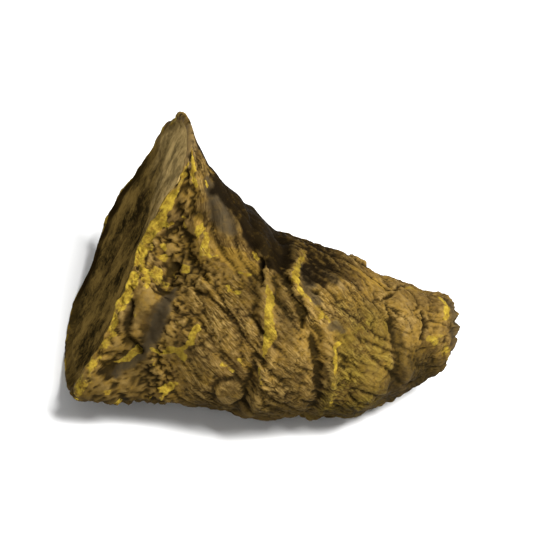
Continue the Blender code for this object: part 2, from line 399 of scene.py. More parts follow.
on_skin = rise(inset, CUT_FACE_EDGE, 1.0 - CUT_FACE_EDGE)
below = rise(-np.sin(angle), UNDERSIDE_FROM, UNDERSIDE_WHOLE - UNDERSIDE_FROM)
tip_wear = 1.0 - TIP_WORN * rise(along, TIP_WORN_FROM, TIP_WORN_OVER)
coarse = WRINKLE_HEIGHT * (coarse_folds - WRINKLE_MIDDLE) * tip_wear + rings
coarse += SWELLING_HEIGHT * swelling - FURROW_DEPTH * furrow + BUTTON_HEIGHT * buttons
for size, amount, draw in LUMPS:
    coarse += amount * rough(plain, size, draw)
coarse *= on_skin * (1.0 - (1.0 - UNDERSIDE_RELIEF) * below)
formed = plain + normals_of(plain) * coarse[..., None]
print("coarse relief in mm:", round(float(coarse.min()), 2), "to", round(float(coarse.max()), 2))

# %% [markdown]
# ## Where the photographed details lie
# The yellow patches, grey smears and clefts are particular to this chunk, so they are drawn as short
# strokes on the skin. A stroke is a chain of (along, degrees, half width in millimetres), with a
# strength. A painted image would do it too, but it would stretch on the sides and stop at its edge,
# while strokes in the form's own measure stay sharp from any side.

# %% Yellow on the worn rim of the cut, from its foot at the front to its peak
YELLOW_RIM = (
    (((0.004, -32, 0.6), (0.002, -20, 0.9), (0.0, -8, 1.0), (0.0, 6, 1.0), (0.001, 17, 0.95)), 0.56),
    (((0.001, 17, 0.95), (0.004, 29, 0.75), (0.006, 43, 0.9)), 0.72),
    (((0.006, 43, 0.95), (0.001, 53, 1.05), (0.0, 69, 1.1), (0.001, 77, 1.25), (0.003, 82, 1.0)), 0.90),
    (((0.003, 82, 1.0), (0.006, 86, 0.55), (0.010, 91, 0.3)), 0.60),
    (((0.012, 98, 0.2), (0.024, 95, 0.25), (0.041, 92, 0.27)), 0.80),
    (((0.012, -36, 0.3), (0.030, -38, 0.25), (0.055, -42, 0.2)), 0.70),
)
print("yellow strokes on the rim:", len(YELLOW_RIM))

# %% Yellow flakes in the crumbly part beside the rim
YELLOW_FLAKES = (
    (((0.020, 48, 0.35), (0.035, 39, 0.35), (0.041, 32, 0.25)), 0.90),
    (((0.033, 53, 0.5), (0.055, 46, 1.1), (0.081, 40, 0.4)), 0.56),
    (((0.041, 60, 0.3), (0.062, 62, 0.4)), 0.90),
    (((0.104, 62, 0.25), (0.116, 60, 0.38)), 1.00),
    (((0.121, 79, 0.3), (0.114, 82, 0.25)), 0.90),
    (((0.118, 82, 0.25), (0.144, 80, 0.35), (0.150, 75, 0.6), (0.145, 71, 0.45)), 0.80),
    (((0.150, 73, 0.3), (0.170, 72, 0.2), (0.184, 74, 0.15)), 0.80),
    (((0.060, 81, 0.2), (0.076, 80, 0.25), (0.081, 77, 0.3)), 0.75),
    (((0.041, 90, 0.36), (0.058, 88, 0.33)), 0.70),
    (((0.087, 94, 0.25), (0.098, 94, 0.25)), 1.00),
    (((0.055, 112, 0.2), (0.066, 112, 0.22)), 0.70),
    (((0.087, 102, 0.22), (0.104, 102, 0.22)), 0.60),
)
print("yellow flakes beside the rim:", len(YELLOW_FLAKES))

# %% The forked yellow flake low on the front, and the flecks round it
YELLOW_FORK = (
    (((0.093, -3, 0.18), (0.116, -4, 0.25), (0.133, 1, 0.33), (0.156, 3, 0.45), (0.170, 0, 0.33)), 0.90),
    (((0.160, 4, 0.33), (0.175, 11, 0.45), (0.173, 20, 0.5)), 0.85),
    (((0.134, 18, 0.25), (0.143, 18, 0.3)), 0.60),
    (((0.045, -14, 0.25), (0.058, -11, 0.45), (0.066, -6, 0.35)), 0.95),
    (((0.142, -21, 0.3), (0.161, -18, 0.55), (0.170, -16, 0.25)), 0.80),
    (((0.156, -28, 0.27), (0.158, -20, 0.35)), 0.70),
    (((0.102, -7, 0.2), (0.117, -11, 0.2)), 0.60),
    (((0.043, -24, 0.4), (0.052, -24, 0.3)), 0.55),
    (((0.226, 55, 0.2), (0.240, 52, 0.27), (0.255, 53, 0.2)), 0.85),
    (((0.250, 66, 0.2), (0.272, 67, 0.25)), 0.75),
    (((0.278, 80, 0.25), (0.290, 78, 0.3)), 0.80),
    (((0.255, 6, 0.3), (0.284, 4, 0.3)), 0.60),
    (((0.290, 13, 0.25), (0.312, 6, 0.33)), 0.60),
    (((0.343, 13, 0.18), (0.358, 4, 0.25)), 0.70),
)
print("forked flake and flecks:", len(YELLOW_FORK))

# %% Yellow along the first and second growth ring, and round the tip
YELLOW_RINGS = (
    # The first ring, thin above and wide below.
    (((0.325, 63, 0.22), (0.339, 56, 0.4), (0.338, 48, 0.36), (0.340, 43, 0.6)), 0.95),
    (((0.340, 43, 0.6), (0.350, 35, 0.8), (0.346, 28, 0.6), (0.344, 21, 0.25)), 1.00),
    # The second ring, with its step.
    (((0.438, 101, 0.4), (0.430, 93, 0.6), (0.408, 80, 0.55), (0.401, 71, 0.5), (0.413, 65, 0.36)), 0.74),
    (((0.413, 65, 0.32), (0.442, 61, 0.32), (0.471, 57, 0.42), (0.482, 54, 0.5), (0.505, 51, 0.22)), 0.50),
    (((0.459, 51, 0.32), (0.482, 54, 0.4)), 0.50),
    (((0.548, 39, 0.2), (0.528, 36, 0.3), (0.538, 28, 0.3), (0.545, 18, 0.2)), 0.75),
    (((0.539, 10, 0.27), (0.562, -12, 0.27)), 0.50),
    # The tip.
    (((0.915, 92, 0.4), (0.929, 77, 0.6), (0.915, 62, 0.4)), 0.62),
    (((0.854, 42, 0.35), (0.900, 34, 0.85), (0.929, 18, 0.9), (0.968, -20, 0.6)), 0.56),
    (((0.785, 101, 0.3), (0.837, 104, 0.45), (0.866, 101, 0.25)), 0.55),
)
YELLOW_STROKES = YELLOW_RIM + YELLOW_FLAKES + YELLOW_FORK + YELLOW_RINGS
print("yellow strokes:", len(YELLOW_STROKES))

# %% [markdown]
# ## The other marks
# Soil and mould left grey smears, and rubbing left pale and ochre ones. The dull patches are painted
# shade. Clefts are where the drying skin split. The back is painted nearly black as a shadow, behind
# a line that follows the crest, given as degrees at some places along. Drawn lines keep all of them
# where the photograph shows them.

# %% Grey and pale smears
GREY_STROKES = (
    (((0.098, 42, 0.4), (0.093, 36, 0.8), (0.087, 22, 1.0), (0.087, 10, 1.1), (0.086, 0, 0.9)), 1.00),
    (((0.086, 0, 0.9), (0.076, -7, 0.75), (0.058, -13, 0.7), (0.047, -18, 0.5)), 1.00),
    (((0.095, 96, 0.6), (0.120, 94, 1.1), (0.141, 90, 1.4), (0.165, 87, 1.4), (0.205, 85, 0.8)), 0.90),
    (((0.430, 86, 0.6), (0.442, 83, 0.9), (0.438, 68, 0.8), (0.462, 62, 0.7)), 0.85),
    (((0.506, 46, 0.35), (0.520, 49, 0.6), (0.545, 46, 0.35)), 0.75),
    (((0.955, 80, 1.3), (0.972, 37, 1.6), (0.968, -10, 1.3)), 0.80),
)
PALE_STROKES = (
    (((0.004, 92, 1.2), (0.002, 104, 1.7), (0.004, 116, 1.3)), 1.00),
    (((0.775, 82, 0.8), (0.790, 74, 1.1), (0.790, 60, 1.0), (0.765, 47, 0.5)), 0.45),
    (((0.493, 86, 0.5), (0.522, 79, 0.8), (0.545, 75, 0.5)), 0.60),
    (((0.041, 15, 0.7), (0.053, 7, 0.8)), 0.20),
    (((0.290, -16, 1.1), (0.296, -16, 1.1)), 0.80),
)
print("grey and pale strokes:", len(GREY_STROKES), len(PALE_STROKES))

# %% Ochre patches, and dull patches of painted shade
OCHRE_STROKES = (
    (((0.190, 76, 0.8), (0.240, 74, 1.3), (0.280, 72, 0.8)), 0.90),
    (((0.550, 82, 1.2), (0.585, 76, 1.4), (0.620, 72, 1.0)), 0.42),
    (((0.600, 98, 0.7), (0.660, 94, 0.9), (0.710, 94, 0.8)), 0.80),
    (((0.170, 55, 0.7), (0.176, 55, 0.6)), 0.90),
    (((0.100, 83, 0.6), (0.108, 82, 0.6)), 0.90),
    (((0.300, 14, 0.6), (0.320, 8, 0.6)), 0.60),
)
# The dull strokes mark where painted shade darkens the skin.
SHADE_STROKES = (
    (((0.790, 20, 2.0), (0.850, 6, 2.7), (0.880, -12, 2.7)), 1.00),
    (((0.610, 40, 2.0), (0.640, 62, 2.0)), 0.30),
    (((0.738, 48, 0.7), (0.745, 35, 1.2), (0.752, 15, 1.7), (0.748, -15, 1.9)), 0.95),
    (((0.430, 10, 1.6), (0.440, -15, 2.0), (0.400, -25, 2.0)), 0.50),
    (((0.240, -22, 1.6), (0.300, -30, 2.0)), 0.60),
    (((0.360, 62, 0.8), (0.385, 50, 1.2), (0.400, 38, 1.0)), 0.60),
    (((0.110, 50, 0.9), (0.125, 64, 1.2), (0.110, 74, 0.9)), 0.45),
    (((0.042, 20, 1.1), (0.052, 14, 1.1)), 0.60),
    (((0.040, -8, 1.6), (0.085, -12, 2.0)), 0.60),
    (((0.150, 2, 1.9), (0.185, 0, 2.2), (0.215, -4, 1.8)), 0.80),
    (((0.262, 66, 2.0), (0.300, 60, 2.2)), 0.50),
)
print("ochre and dull strokes:", len(OCHRE_STROKES), len(SHADE_STROKES))

# %% Clefts
CLEFT_STROKES = (
    (((0.022, 18, 0.25), (0.028, 8, 0.55), (0.046, -2, 0.6), (0.068, -5, 0.4)), 1.00),
    (((0.305, 79, 0.2), (0.305, 71, 0.3), (0.311, 61, 0.22)), 0.65),
    (((0.325, 80, 0.18), (0.333, 75, 0.2)), 0.80),
    (((0.364, 80, 0.3), (0.374, 71, 0.4), (0.396, 61, 0.4), (0.425, 55, 0.45), (0.432, 46, 0.3)), 0.70),
    (((0.459, 42, 0.3), (0.471, 32, 0.5), (0.493, 20, 0.65), (0.507, 3, 0.6)), 0.25),
    (((0.454, 68, 0.3), (0.464, 68, 0.3)), 1.00),
    (((0.715, 72, 0.2), (0.722, 54, 0.42), (0.728, 38, 0.5), (0.734, 22, 0.55), (0.728, 0, 0.5)), 0.25),
    (((0.700, 76, 0.15), (0.740, 90, 0.2), (0.774, 102, 0.22), (0.803, 111, 0.15)), 0.60),
    (((0.843, 69, 0.3), (0.848, 55, 0.4), (0.831, 42, 0.38)), 0.60),
    (((0.990, 70, 0.35), (0.960, 56, 0.3)), 0.60),
)
print("clefts:", len(CLEFT_STROKES))

# %% A mask from each kind of stroke
STROKE_WOBBLE = ((0.20, 1.1, 61), (0.14, 0.5, 62))

wobble = layered(STROKE_WOBBLE)


def strokes(drawn, softness):
    """Strength of the strongest stroke at every point, 0 to 1."""
    mask = np.zeros_like(along)
    for chain, strength in drawn:
        marks = [place(a, d) for a, d, half_width in chain]
        for k in range(len(chain) - 1):
            run = marks[k + 1] - marks[k]
            t = np.clip((plain - marks[k]) @ run / (run @ run), 0.0, 1.0)
            width = chain[k][2] + t * (chain[k + 1][2] - chain[k][2])
            off = np.linalg.norm(plain - marks[k] - t[..., None] * run, axis=-1) + wobble
            mask = np.maximum(mask, strength * fall(off / width, 1.0 + softness, 2.0 * softness))
    return mask


yellow_drawn = strokes(YELLOW_STROKES, 0.4)
grey_drawn = strokes(GREY_STROKES, 0.4)
pale_drawn = strokes(PALE_STROKES, 0.5)
ochre_drawn = strokes(OCHRE_STROKES, 0.6)
shade_drawn = strokes(SHADE_STROKES, 0.8)
clefts = strokes(CLEFT_STROKES, 0.8)
print("drawn strokes cover", round(float((yellow_drawn > 0.5).mean()) * 100, 1), "% in yellow")

# %% The near-black back, a painted shadow
DARK_FROM = np.array(
    [
        *((0.0, 128), (0.064, 112), (0.116, 102), (0.156, 99), (0.190, 95), (0.236, 92), (0.270, 88)),
        *((0.385, 82), (0.450, 82), (0.505, 83), (0.556, 85), (0.631, 90), (0.694, 102), (1.0, 125)),
    ]
)
DARK_BEFORE = 9.0
DARK_WANDER = ((4.0, 2.5, 63), (3.0, 0.9, 64))
DARK_EDGE = 6.0
DARK_TO, DARK_TO_FADE = 185.0, 30.0
DARK_START, DARK_START_FADE = 0.03, 0.05
DARK_END, DARK_END_FADE = 0.70, 0.22
DARK_UNDER_YELLOW = 0.9

turn = np.degrees(angle)
dark_from = through(DARK_FROM[:, 0], DARK_FROM[:, 1], along) - DARK_BEFORE
dark_from += layered(DARK_WANDER)
dark_drawn = rise(turn, dark_from, DARK_EDGE) * fall(turn, DARK_TO, DARK_TO_FADE)
dark_drawn *= fall(along, DARK_END, DARK_END_FADE) * rise(along, DARK_START, DARK_START_FADE)
dark_drawn *= 1.0 - DARK_UNDER_YELLOW * yellow_drawn
print("the back is dark over", round(float((dark_drawn > 0.5).mean()) * 100, 1), "% of the grid")

# %% [markdown]
# ## Fine relief
# Up close, the skin is drawn into wavy folds about a millimetre apart. Near the cut it has broken
# into crumbs and flat chips instead. A brush could carve them, but formulas cover every side alike:
# the folds are made as the coarse ones were, and the crumbs are cells round scattered points, each
# tilted its own way.

# %% Fine folds
FINE_WIND = 0.052
FINE_STRETCH = 0.40
MIDDLE_FOLDS = (1.30, 0.9, 1.8, 54)
SMALL_FOLDS = (0.80, 0.55, 1.0, 64)

wound = winding(FINE_WIND, FINE_STRETCH)
middle_folds = folds(wound, *MIDDLE_FOLDS)
small_folds = folds(wound, *SMALL_FOLDS)
fold_means = [round(float(made.mean()), 2) for made in (middle_folds, small_folds)]
print("middle and small folds:", fold_means, "on average")

# %% Crumbs and chips, each as (size, warp, width of its edge, draw)
CRUMBS = (1.55, 0.70, 0.30, 71)
CHIPS = (0.75, 0.40, 0.35, 72)
CELL_NARROW = (1.25, 0.75, 0.8)
CELL_WARP_SIZE, CELL_WARP_DRAW = 1.2, 68
CELL_DRAW = 37.7
CELL_TOP, CELL_UNEVEN, CELL_TILT = 0.8, 0.6, 1.1

warp = np.stack([rough(plain, CELL_WARP_SIZE, CELL_WARP_DRAW + k) for k in range(3)], axis=-1)
narrowed = plain * CELL_NARROW


def cells(size, warped, edge, draw):
    """Heights of tilted cells, the depth inside each, and a draw of 0 to 1 that each has of its own."""
    flat = (narrowed + warped * warp).reshape(-1, 3) / size + draw * DRAW_STEP
    found = [noise.voronoi(p) for p in flat.tolist()]
    depth = np.array([distances[1] - distances[0] for distances, centres in found])
    centre = np.array([centres[0][:] for distances, centres in found])
    own = centre.sum(axis=1) * CELL_DRAW % 1.0
    slope = ((flat - centre) * np.sin(centre * CELL_DRAW)).sum(axis=1)
    height = ease(depth / edge) * (CELL_TOP + CELL_UNEVEN * (own - 0.5) + CELL_TILT * slope)
    return [values.reshape(along.shape) for values in (height, depth, own)]


crumbs, crumb_depth, crumb_draw = cells(*CRUMBS)
chips, chip_depth, chip_draw = cells(*CHIPS)
cell_means = [round(float(made.mean()), 2) for made in (crumbs, chips)]
print("crumbs and chips:", cell_means, "on average")

# %% [markdown]
# ## Where each kind of fine relief lies
# The crumbs keep to the skin beside the cut, mostly on the front. The folds are lower past the third
# ring, behind the crest, in the smears and on the swelling. Weights that change slowly from place to
# place let one kind run into the next without a seam.

# %% The crumbly part, and folds of uneven height
SEEN_SIDE = math.radians(20)
IN_FRONT = (0.05, 0.35)
CRUMBLY_TO, CRUMBLY_FADE = 0.215, 0.10
CRUMBLY_DRIFT = ((0.05, 5.0, 81),)
CRUMBLY_BEHIND = 0.25
CREST_GAP, CREST_FADE, BACK_FADE = 6.0, 14.0, 20.0
UNEVEN = ((0.45, 2.8, 112),)
UNEVEN_MEAN, UNEVEN_LEAST, UNEVEN_MOST = 0.85, 0.3, 1.3
PAST_THIRD_RING = (0.66, 0.12)
LOWER_PAST_THIRD_RING = 0.40

in_front = rise(np.cos(angle - SEEN_SIDE), *IN_FRONT)
below_crest = fall(turn, dark_from - CREST_GAP, CREST_FADE) + rise(turn, DARK_TO, BACK_FADE)
crumbly = fall(along, CRUMBLY_TO + layered(CRUMBLY_DRIFT), CRUMBLY_FADE)
crumbly = crumbly * below_crest * (CRUMBLY_BEHIND + (1.0 - CRUMBLY_BEHIND) * in_front)
uneven = np.clip(UNEVEN_MEAN + layered(UNEVEN), UNEVEN_LEAST, UNEVEN_MOST)
uneven = uneven * (1.0 - LOWER_PAST_THIRD_RING * rise(along, *PAST_THIRD_RING))
print("crumbly over", round(float((crumbly > 0.5).mean()) * 100, 1), "% of the grid")

# %% Calm places, where the fine relief is weak
SMOOTH_NOISE, SMOOTH_FROM = (5.0, 83), (-0.15, 0.5)
ON_SWELLING = (0.0, 0.5)
PAST_FIRST_RING = (0.36, 0.08)
DARK_CALM, DARK_CALM_LOST = 0.80, 0.65
GREY_CALM, GREY_CALM_UNTIL = 0.8, (0.25, 0.10)
YELLOW_CALM, PALE_CALM, SMOOTH_CALM, SWELLING_CALM = 0.4, 0.5, 0.4, 0.65

smoother = rise(rough(plain, *SMOOTH_NOISE), *SMOOTH_FROM)
on_swelling = rise(swelling, *ON_SWELLING)
past_first_ring = rise(along, *PAST_FIRST_RING)
dark_calm = (DARK_CALM - DARK_CALM_LOST * past_first_ring) * dark_drawn
grey_calm = GREY_CALM * grey_drawn * (1.0 - rise(along, *GREY_CALM_UNTIL))
drawn_calm = np.maximum(YELLOW_CALM * yellow_drawn, PALE_CALM * pale_drawn)
other_calm = np.maximum(SMOOTH_CALM * smoother, SWELLING_CALM * on_swelling)
calm = 1.0 - np.maximum.reduce([dark_calm, grey_calm, drawn_calm, other_calm])
print("calm places keep", round(float(calm.min()), 2), "of the fine relief or more")

# %% Weigh and add the fine relief
MIDDLE_HEIGHT, MIDDLE_LOST = 0.32, 0.75
SMALL_HEIGHT, SMALL_LOST = 0.17, 0.6
CRUMB_HEIGHT, CHIP_HEIGHT, CRUMB_MIDDLE = 0.42, 0.18, 0.6
GRIT = ((0.07, 0.42, 75),)
CLEFT_DEPTH = 0.75
YELLOW_RISE = 0.08
UNDERSIDE_WORN = 0.5

fine = MIDDLE_HEIGHT * uneven * (middle_folds - WRINKLE_MIDDLE) * (1.0 - MIDDLE_LOST * crumbly)
fine += SMALL_HEIGHT * uneven * (small_folds - WRINKLE_MIDDLE) * (1.0 - SMALL_LOST * crumbly)
fine += CRUMB_HEIGHT * (crumbs - CRUMB_MIDDLE) * crumbly + CHIP_HEIGHT * (chips - CRUMB_MIDDLE) * crumbly
fine = (fine + layered(GRIT)) * calm
fine += YELLOW_RISE * yellow_drawn - CLEFT_DEPTH * clefts
fine *= on_skin * (1.0 - UNDERSIDE_WORN * below)
print("folds, crumbs and clefts in mm:", round(float(fine.min()), 2), "to", round(float(fine.max()), 2))

# %% [markdown]
# ## The cut face and the tip
# The knife left a nearly flat face. In drying it warped a little, its softer outer layer sank inside
# the rim, and a shallow crack opened down its middle. The tip is a worn stub of fibres. Both could
# be meshes of their own, but heights on the same grid leave no seam.

# %% Cut face, rim and tip
CORTEX_EDGE = 0.83
CORTEX_WIDTH = 0.03
CORTEX_SINK = 0.15
FACE_CRACK = (
    *((0.81, 153), (0.69, 151), (0.61, 155), (0.52, 164)),
    *((0.42, 172), (0.40, 190), (0.46, 215), (0.56, 238)),
)
FACE_CRACK_ALONG = 0.01
FACE_CRACK_WIDTH = 0.45
FACE_CRACK_DEPTH = 0.35
FACE_RELIEF = ((0.35, 7.0, 91), (0.12, 2.2, 92), (0.04, 0.6, 93))
RIM_RELIEF = ((0.45, 2.2, 94), (0.22, 0.9, 95))
TIP_RELIEF = ((0.55, 1.4, 96), (0.30, 0.65, 97))
TIP_FROM, TIP_FADE = 0.90, 0.08
FACE_FADE, RIM_INSIDE = 0.02, 0.03
RIM_TO, RIM_FADE = 0.040, 0.020
RIM_BEHIND, RIM_MORE_IN_FRONT = 0.2, 0.8

past_edge = inset - CUT_FACE_EDGE
on_face = 1.0 - rise(past_edge, -FACE_FADE, FACE_FADE)
cortex = rise(inset, CORTEX_EDGE, CORTEX_WIDTH)
crack_along = np.zeros(1) + FACE_CRACK_ALONG
crack_line = [skin(crack_along, np.array([i]), np.radians([d]))[0] for i, d in FACE_CRACK]
face_crack = np.exp(-((distance_to_path(plain, crack_line) / FACE_CRACK_WIDTH) ** 2)) * on_face
fine += (layered(FACE_RELIEF) - CORTEX_SINK * cortex - FACE_CRACK_DEPTH * face_crack) * on_face
rim = rise(past_edge, -RIM_INSIDE, RIM_INSIDE) * fall(along, RIM_TO, RIM_FADE)
tip = rise(along, TIP_FROM, TIP_FADE)
fine += rim * (RIM_BEHIND + RIM_MORE_IN_FRONT * in_front) * calm * layered(RIM_RELIEF)
fine += tip * layered(TIP_RELIEF)
shaped = formed + normals_of(formed) * fine[..., None]
print("fine relief in mm:", round(float(fine.min()), 2), "to", round(float(fine.max()), 2))

# %% [markdown]
# ## Set the form into the frame
# The solid model stands with the middle of its box over the origin and its worn underside at zero
# height. The same shift brings the fine surface to the same place. Skin that would lie under the
# table is worn flat. The foot of the cut would fold under itself there, so it bends out just above.

# %% Shift and rest
REST_LEVEL = 0.35
FOOT = 1.0


def rested(points):
    """Points with the skin worn flat at zero height, and the cut's foot bent out just above it."""
    foot = FOOT * (1.0 - on_skin)
    height = points[..., 2] - REST_LEVEL
    height = (height + np.sqrt(height**2 + foot**2)) / 2
    return np.concatenate([points[..., :2], height[..., None]], axis=-1)


box_low = formed.reshape(-1, 3).min(axis=0)
box_high = formed.reshape(-1, 3).max(axis=0)
solid_middle = (np.array(solid_low) + np.array(solid_high)) / 2 / MM
shift = np.array([*(solid_middle - (box_low + box_high) / 2)[:2], 0.0])
surface = (rested(shaped) + shift) * MM
face_middle = skin(np.zeros(1) + CUT_DISH, np.zeros(1), np.zeros(1))[0]
middle = (face_middle - [0, 0, REST_LEVEL] + shift) * MM
end = surface[-1].mean(axis=0)
print("shift in mm:", shift.round(2))

# %% [markdown]
# ## Masks for the colours
# Painted shade darkens the creases, and the crests are painted paler, partly as rubbed wear and
# partly as painted highlight. Both are read from the heights: a point that lies under the average of
# its surroundings is in a crease. The masks are stored on the mesh's points, where the materials
# read them, so the colours follow the form on every side.

# %% Heights averaged near and far
NEAR_REACH = (1, 2)
FAR_REACH = (6, 8)


def blurred(values, reach_rows, reach_sides):
    """Values averaged over a window of the grid, closed round the axis."""
    total = sum(np.roll(values, k, axis=1) for k in range(-reach_sides, reach_sides + 1))
    values = total / (2 * reach_sides + 1)
    padded = np.pad(values, ((reach_rows, reach_rows), (0, 0)), mode="edge")
    sums = np.cumsum(np.vstack([np.zeros((1, values.shape[1])), padded]), axis=0)
    width = 2 * reach_rows + 1
    return (sums[width:] - sums[:-width]) / width


height = coarse + fine
near_mean = blurred(blurred(height, *NEAR_REACH), *NEAR_REACH)
far_mean = blurred(blurred(height, *FAR_REACH), *FAR_REACH)
print("deepest crease in mm:", round(float((far_mean - height).max()), 2))

# %% Creases, for painted shade
FOLD_LINE, FOLD_LINE_LOST = 0.45, 0.7
CRUMB_LINE, CHIP_LINE, CHIP_LINE_STRENGTH = 0.14, 0.16, 0.5
CREASE_NEAR, CREASE_NEAR_DEPTH = 0.8, 0.08
CREASE_FAR, CREASE_FAR_DEPTH = 0.30, 0.6
CREASE_FOLDS, CREASE_CRUMBS, CREASE_CLEFTS = 0.5, 0.5, 0.9
CREASE_HIDDEN = 0.75

fold_lines = ease(1.0 - middle_folds / FOLD_LINE) * calm * on_skin * (1.0 - FOLD_LINE_LOST * crumbly)
chip_lines = CHIP_LINE_STRENGTH * ease(1.0 - chip_depth / CHIP_LINE)
crumb_lines = np.maximum(ease(1.0 - crumb_depth / CRUMB_LINE), chip_lines) * crumbly * on_skin * calm
crease = CREASE_NEAR * np.clip((near_mean - height) / CREASE_NEAR_DEPTH, 0, 1)
crease = crease + CREASE_FAR * np.clip((far_mean - height) / CREASE_FAR_DEPTH, 0, 1)
crease = crease + CREASE_FOLDS * fold_lines + CREASE_CRUMBS * crumb_lines
crease *= 1.0 - CREASE_HIDDEN * np.maximum(grey_drawn, on_swelling)
crease = np.clip(crease + CREASE_CLEFTS * clefts, 0, 1)
print("mean crease:", round(float(crease.mean()), 2))

# %% Crests, the crumbs' own tones, and folded skin
CREST_NEAR, CREST_NEAR_RISE = 0.7, 0.07
CREST_FAR, CREST_FAR_RISE = 0.35, 0.5
CREST_LOST = 0.6
MIDDLE_TONE, CRUMB_SHARE, CHIP_SHARE = 0.5, 0.6, 0.4

# The crest mask paints crests paler: partly rubbed wear, partly painted highlight.
crest = CREST_NEAR * np.clip((height - near_mean) / CREST_NEAR_RISE, 0, 1)
crest = crest + CREST_FAR * np.clip((height - far_mean) / CREST_FAR_RISE, 0, 1)
crest = np.clip(crest, 0, 1) * (1.0 - CREST_LOST * fold_lines)
own_tone = CRUMB_SHARE * crumb_draw + CHIP_SHARE * chip_draw
crumb_tone = MIDDLE_TONE + (own_tone - MIDDLE_TONE) * crumbly
folded = calm * uneven * (1.0 - MIDDLE_LOST * crumbly)
print("mean crest:", round(float(crest.mean()), 2))

# %% [markdown]
# ## Where each colour lies
# On the seen side, the strokes say where the flesh and the smears show. On the other sides, noise
# lays marks of the same kinds, so that the chunk looks alike all round. The olive band, the painted
# shade low on the chunk and the painted light on the cut come from place and height alone.

# %% Marks that noise lays on the unseen sides
UNSEEN_SIDE, UNSEEN_FROM = math.radians(40), (-0.35, 0.4)
PATCHY_NOISE = (4.5, 101)
BROKEN_NOISE, BROKEN_FROM = (1.4, 109), (-0.75, 0.7)
FLECKS, FLECKS_PATCHY, FLECKS_FROM = ((1.0, 1.3, 102),), 0.6, (0.85, 0.30)
RIM_GAPS, RIM_GAPS_FROM = ((0.7, 3.0, 103),), (-0.55, 0.8)
RING_WEAR_WIDTH = 0.5
RING_WEAR_NOISE, RING_WEAR_FROM = (3.5, 104), (-0.1, 0.4)

unseen = 1.0 - rise(np.cos(angle - UNSEEN_SIDE), *UNSEEN_FROM)
patchy = rough(plain, *PATCHY_NOISE)
broken = rise(rough(plain, *BROKEN_NOISE), *BROKEN_FROM)
flecks = rise(layered(FLECKS) + FLECKS_PATCHY * patchy, *FLECKS_FROM)
rim_unseen = rim * unseen * rise(layered(RIM_GAPS), *RIM_GAPS_FROM)
ring_wear = sum(np.exp(-((off / RING_WEAR_WIDTH) ** 2)) for off in ring_ahead)
ring_wear = ring_wear * rise(rough(plain, *RING_WEAR_NOISE), *RING_WEAR_FROM)
print("unseen:", round(float((unseen > 0.5).mean()) * 100, 1), "% of the grid")

# %% Yellow flesh, grey smears and the painted shadow of the back
FLECKS_YELLOW, FLECKS_LEAST, FLECKS_IN_CRUMBS = 0.7, 0.3, 0.7
UNSEEN_YELLOW = 0.8
BROKEN_LOST, BROKEN_LOST_ON_RIM = 0.35, 0.15
YELLOW_INSIDE, YELLOW_INSIDE_FADE = 0.07, 0.04
YELLOW_IN_DARK_LOST = 0.7
GREY_UNSEEN, GREY_NOISE, GREY_FROM = 0.8, (5.5, 105), (0.35, 0.3)
DARK_ON_CRESTS_LOST = 0.42

fleck_yellow = FLECKS_YELLOW * flecks * (FLECKS_LEAST + FLECKS_IN_CRUMBS * crumbly)
wear_yellow = np.maximum(UNSEEN_YELLOW * rim_unseen, UNSEEN_YELLOW * ring_wear * unseen)
yellow = np.maximum.reduce([yellow_drawn, fleck_yellow, wear_yellow])
yellow *= 1.0 - (1.0 - broken) * (BROKEN_LOST + BROKEN_LOST_ON_RIM * rim)
outside_face = ease((past_edge + YELLOW_INSIDE * broken) / YELLOW_INSIDE_FADE)
yellow *= outside_face * (1.0 - YELLOW_IN_DARK_LOST * dark_drawn)
grey = np.maximum(grey_drawn, GREY_UNSEEN * rise(rough(plain, *GREY_NOISE), *GREY_FROM) * unseen)
dark = dark_drawn * (1.0 - DARK_ON_CRESTS_LOST * crest * past_first_ring)
print("yellow over", round(float((yellow > 0.5).mean()) * 100, 1), "% of the grid")

# %% Olive band
OLIVE_FROM, OLIVE_TO, OLIVE_FADE = 0.505, 0.735, 0.04
OLIVE_MIDDLE, OLIVE_REACH, OLIVE_REACH_FADE = 10.0, 68.0, 30.0
OLIVE_DRIFT, OLIVE_MEAN, OLIVE_UNEVEN = ((0.012, 2.0, 107),), 0.75, ((0.35, 2.6, 108),)
OLIVE_UNSEEN, OLIVE_UNSEEN_NOISE, OLIVE_UNSEEN_FROM = 0.8, (5.0, 106), (0.2, 0.3)

drift = along + layered(OLIVE_DRIFT)
off_front = np.abs((turn - OLIVE_MIDDLE + 180.0) % 360.0 - 180.0)
olive = rise(drift, OLIVE_FROM, OLIVE_FADE) * fall(drift, OLIVE_TO, OLIVE_FADE)
olive *= fall(off_front, OLIVE_REACH, OLIVE_REACH_FADE) * (OLIVE_MEAN + layered(OLIVE_UNEVEN))
olive_unseen = OLIVE_UNSEEN * rise(rough(plain, *OLIVE_UNSEEN_NOISE), *OLIVE_UNSEEN_FROM) * unseen
olive = np.maximum(olive, olive_unseen)
print("olive over", round(float((olive > 0.5).mean()) * 100, 1), "% of the grid")

# %% Painted shade low on the chunk and where the skin faces down
FACING_REACH = (4, 6)
SHADE_FACING, SHADE_FACING_FADE, SHADE_FACING_PATCHY = 0.38, 0.85, 0.15
LOW_SHADE_LEVEL, LOW_SHADE_LEVEL_FADE, LOW_SHADE_PATCHY = 12.5, 8.0, 2.0
LOW_SHADE_TO, LOW_SHADE_TO_FADE = 0.36, 0.12
LOW_SHADE = 0.85

# Painted shade: skin that faces down or lies low is darkened.
facing_up = blurred(normals_of(plain)[..., 2], *FACING_REACH)
shade_below = ease((SHADE_FACING - facing_up + SHADE_FACING_PATCHY * patchy) / SHADE_FACING_FADE)
low_shade = fall(plain[..., 2], LOW_SHADE_LEVEL + LOW_SHADE_PATCHY * patchy, LOW_SHADE_LEVEL_FADE)
low_shade = low_shade * fall(along, LOW_SHADE_TO, LOW_SHADE_TO_FADE)
shade_below = np.maximum(shade_below, LOW_SHADE * low_shade)
print("earthy over", round(float((shade_below > 0.5).mean()) * 100, 1), "% of the grid")
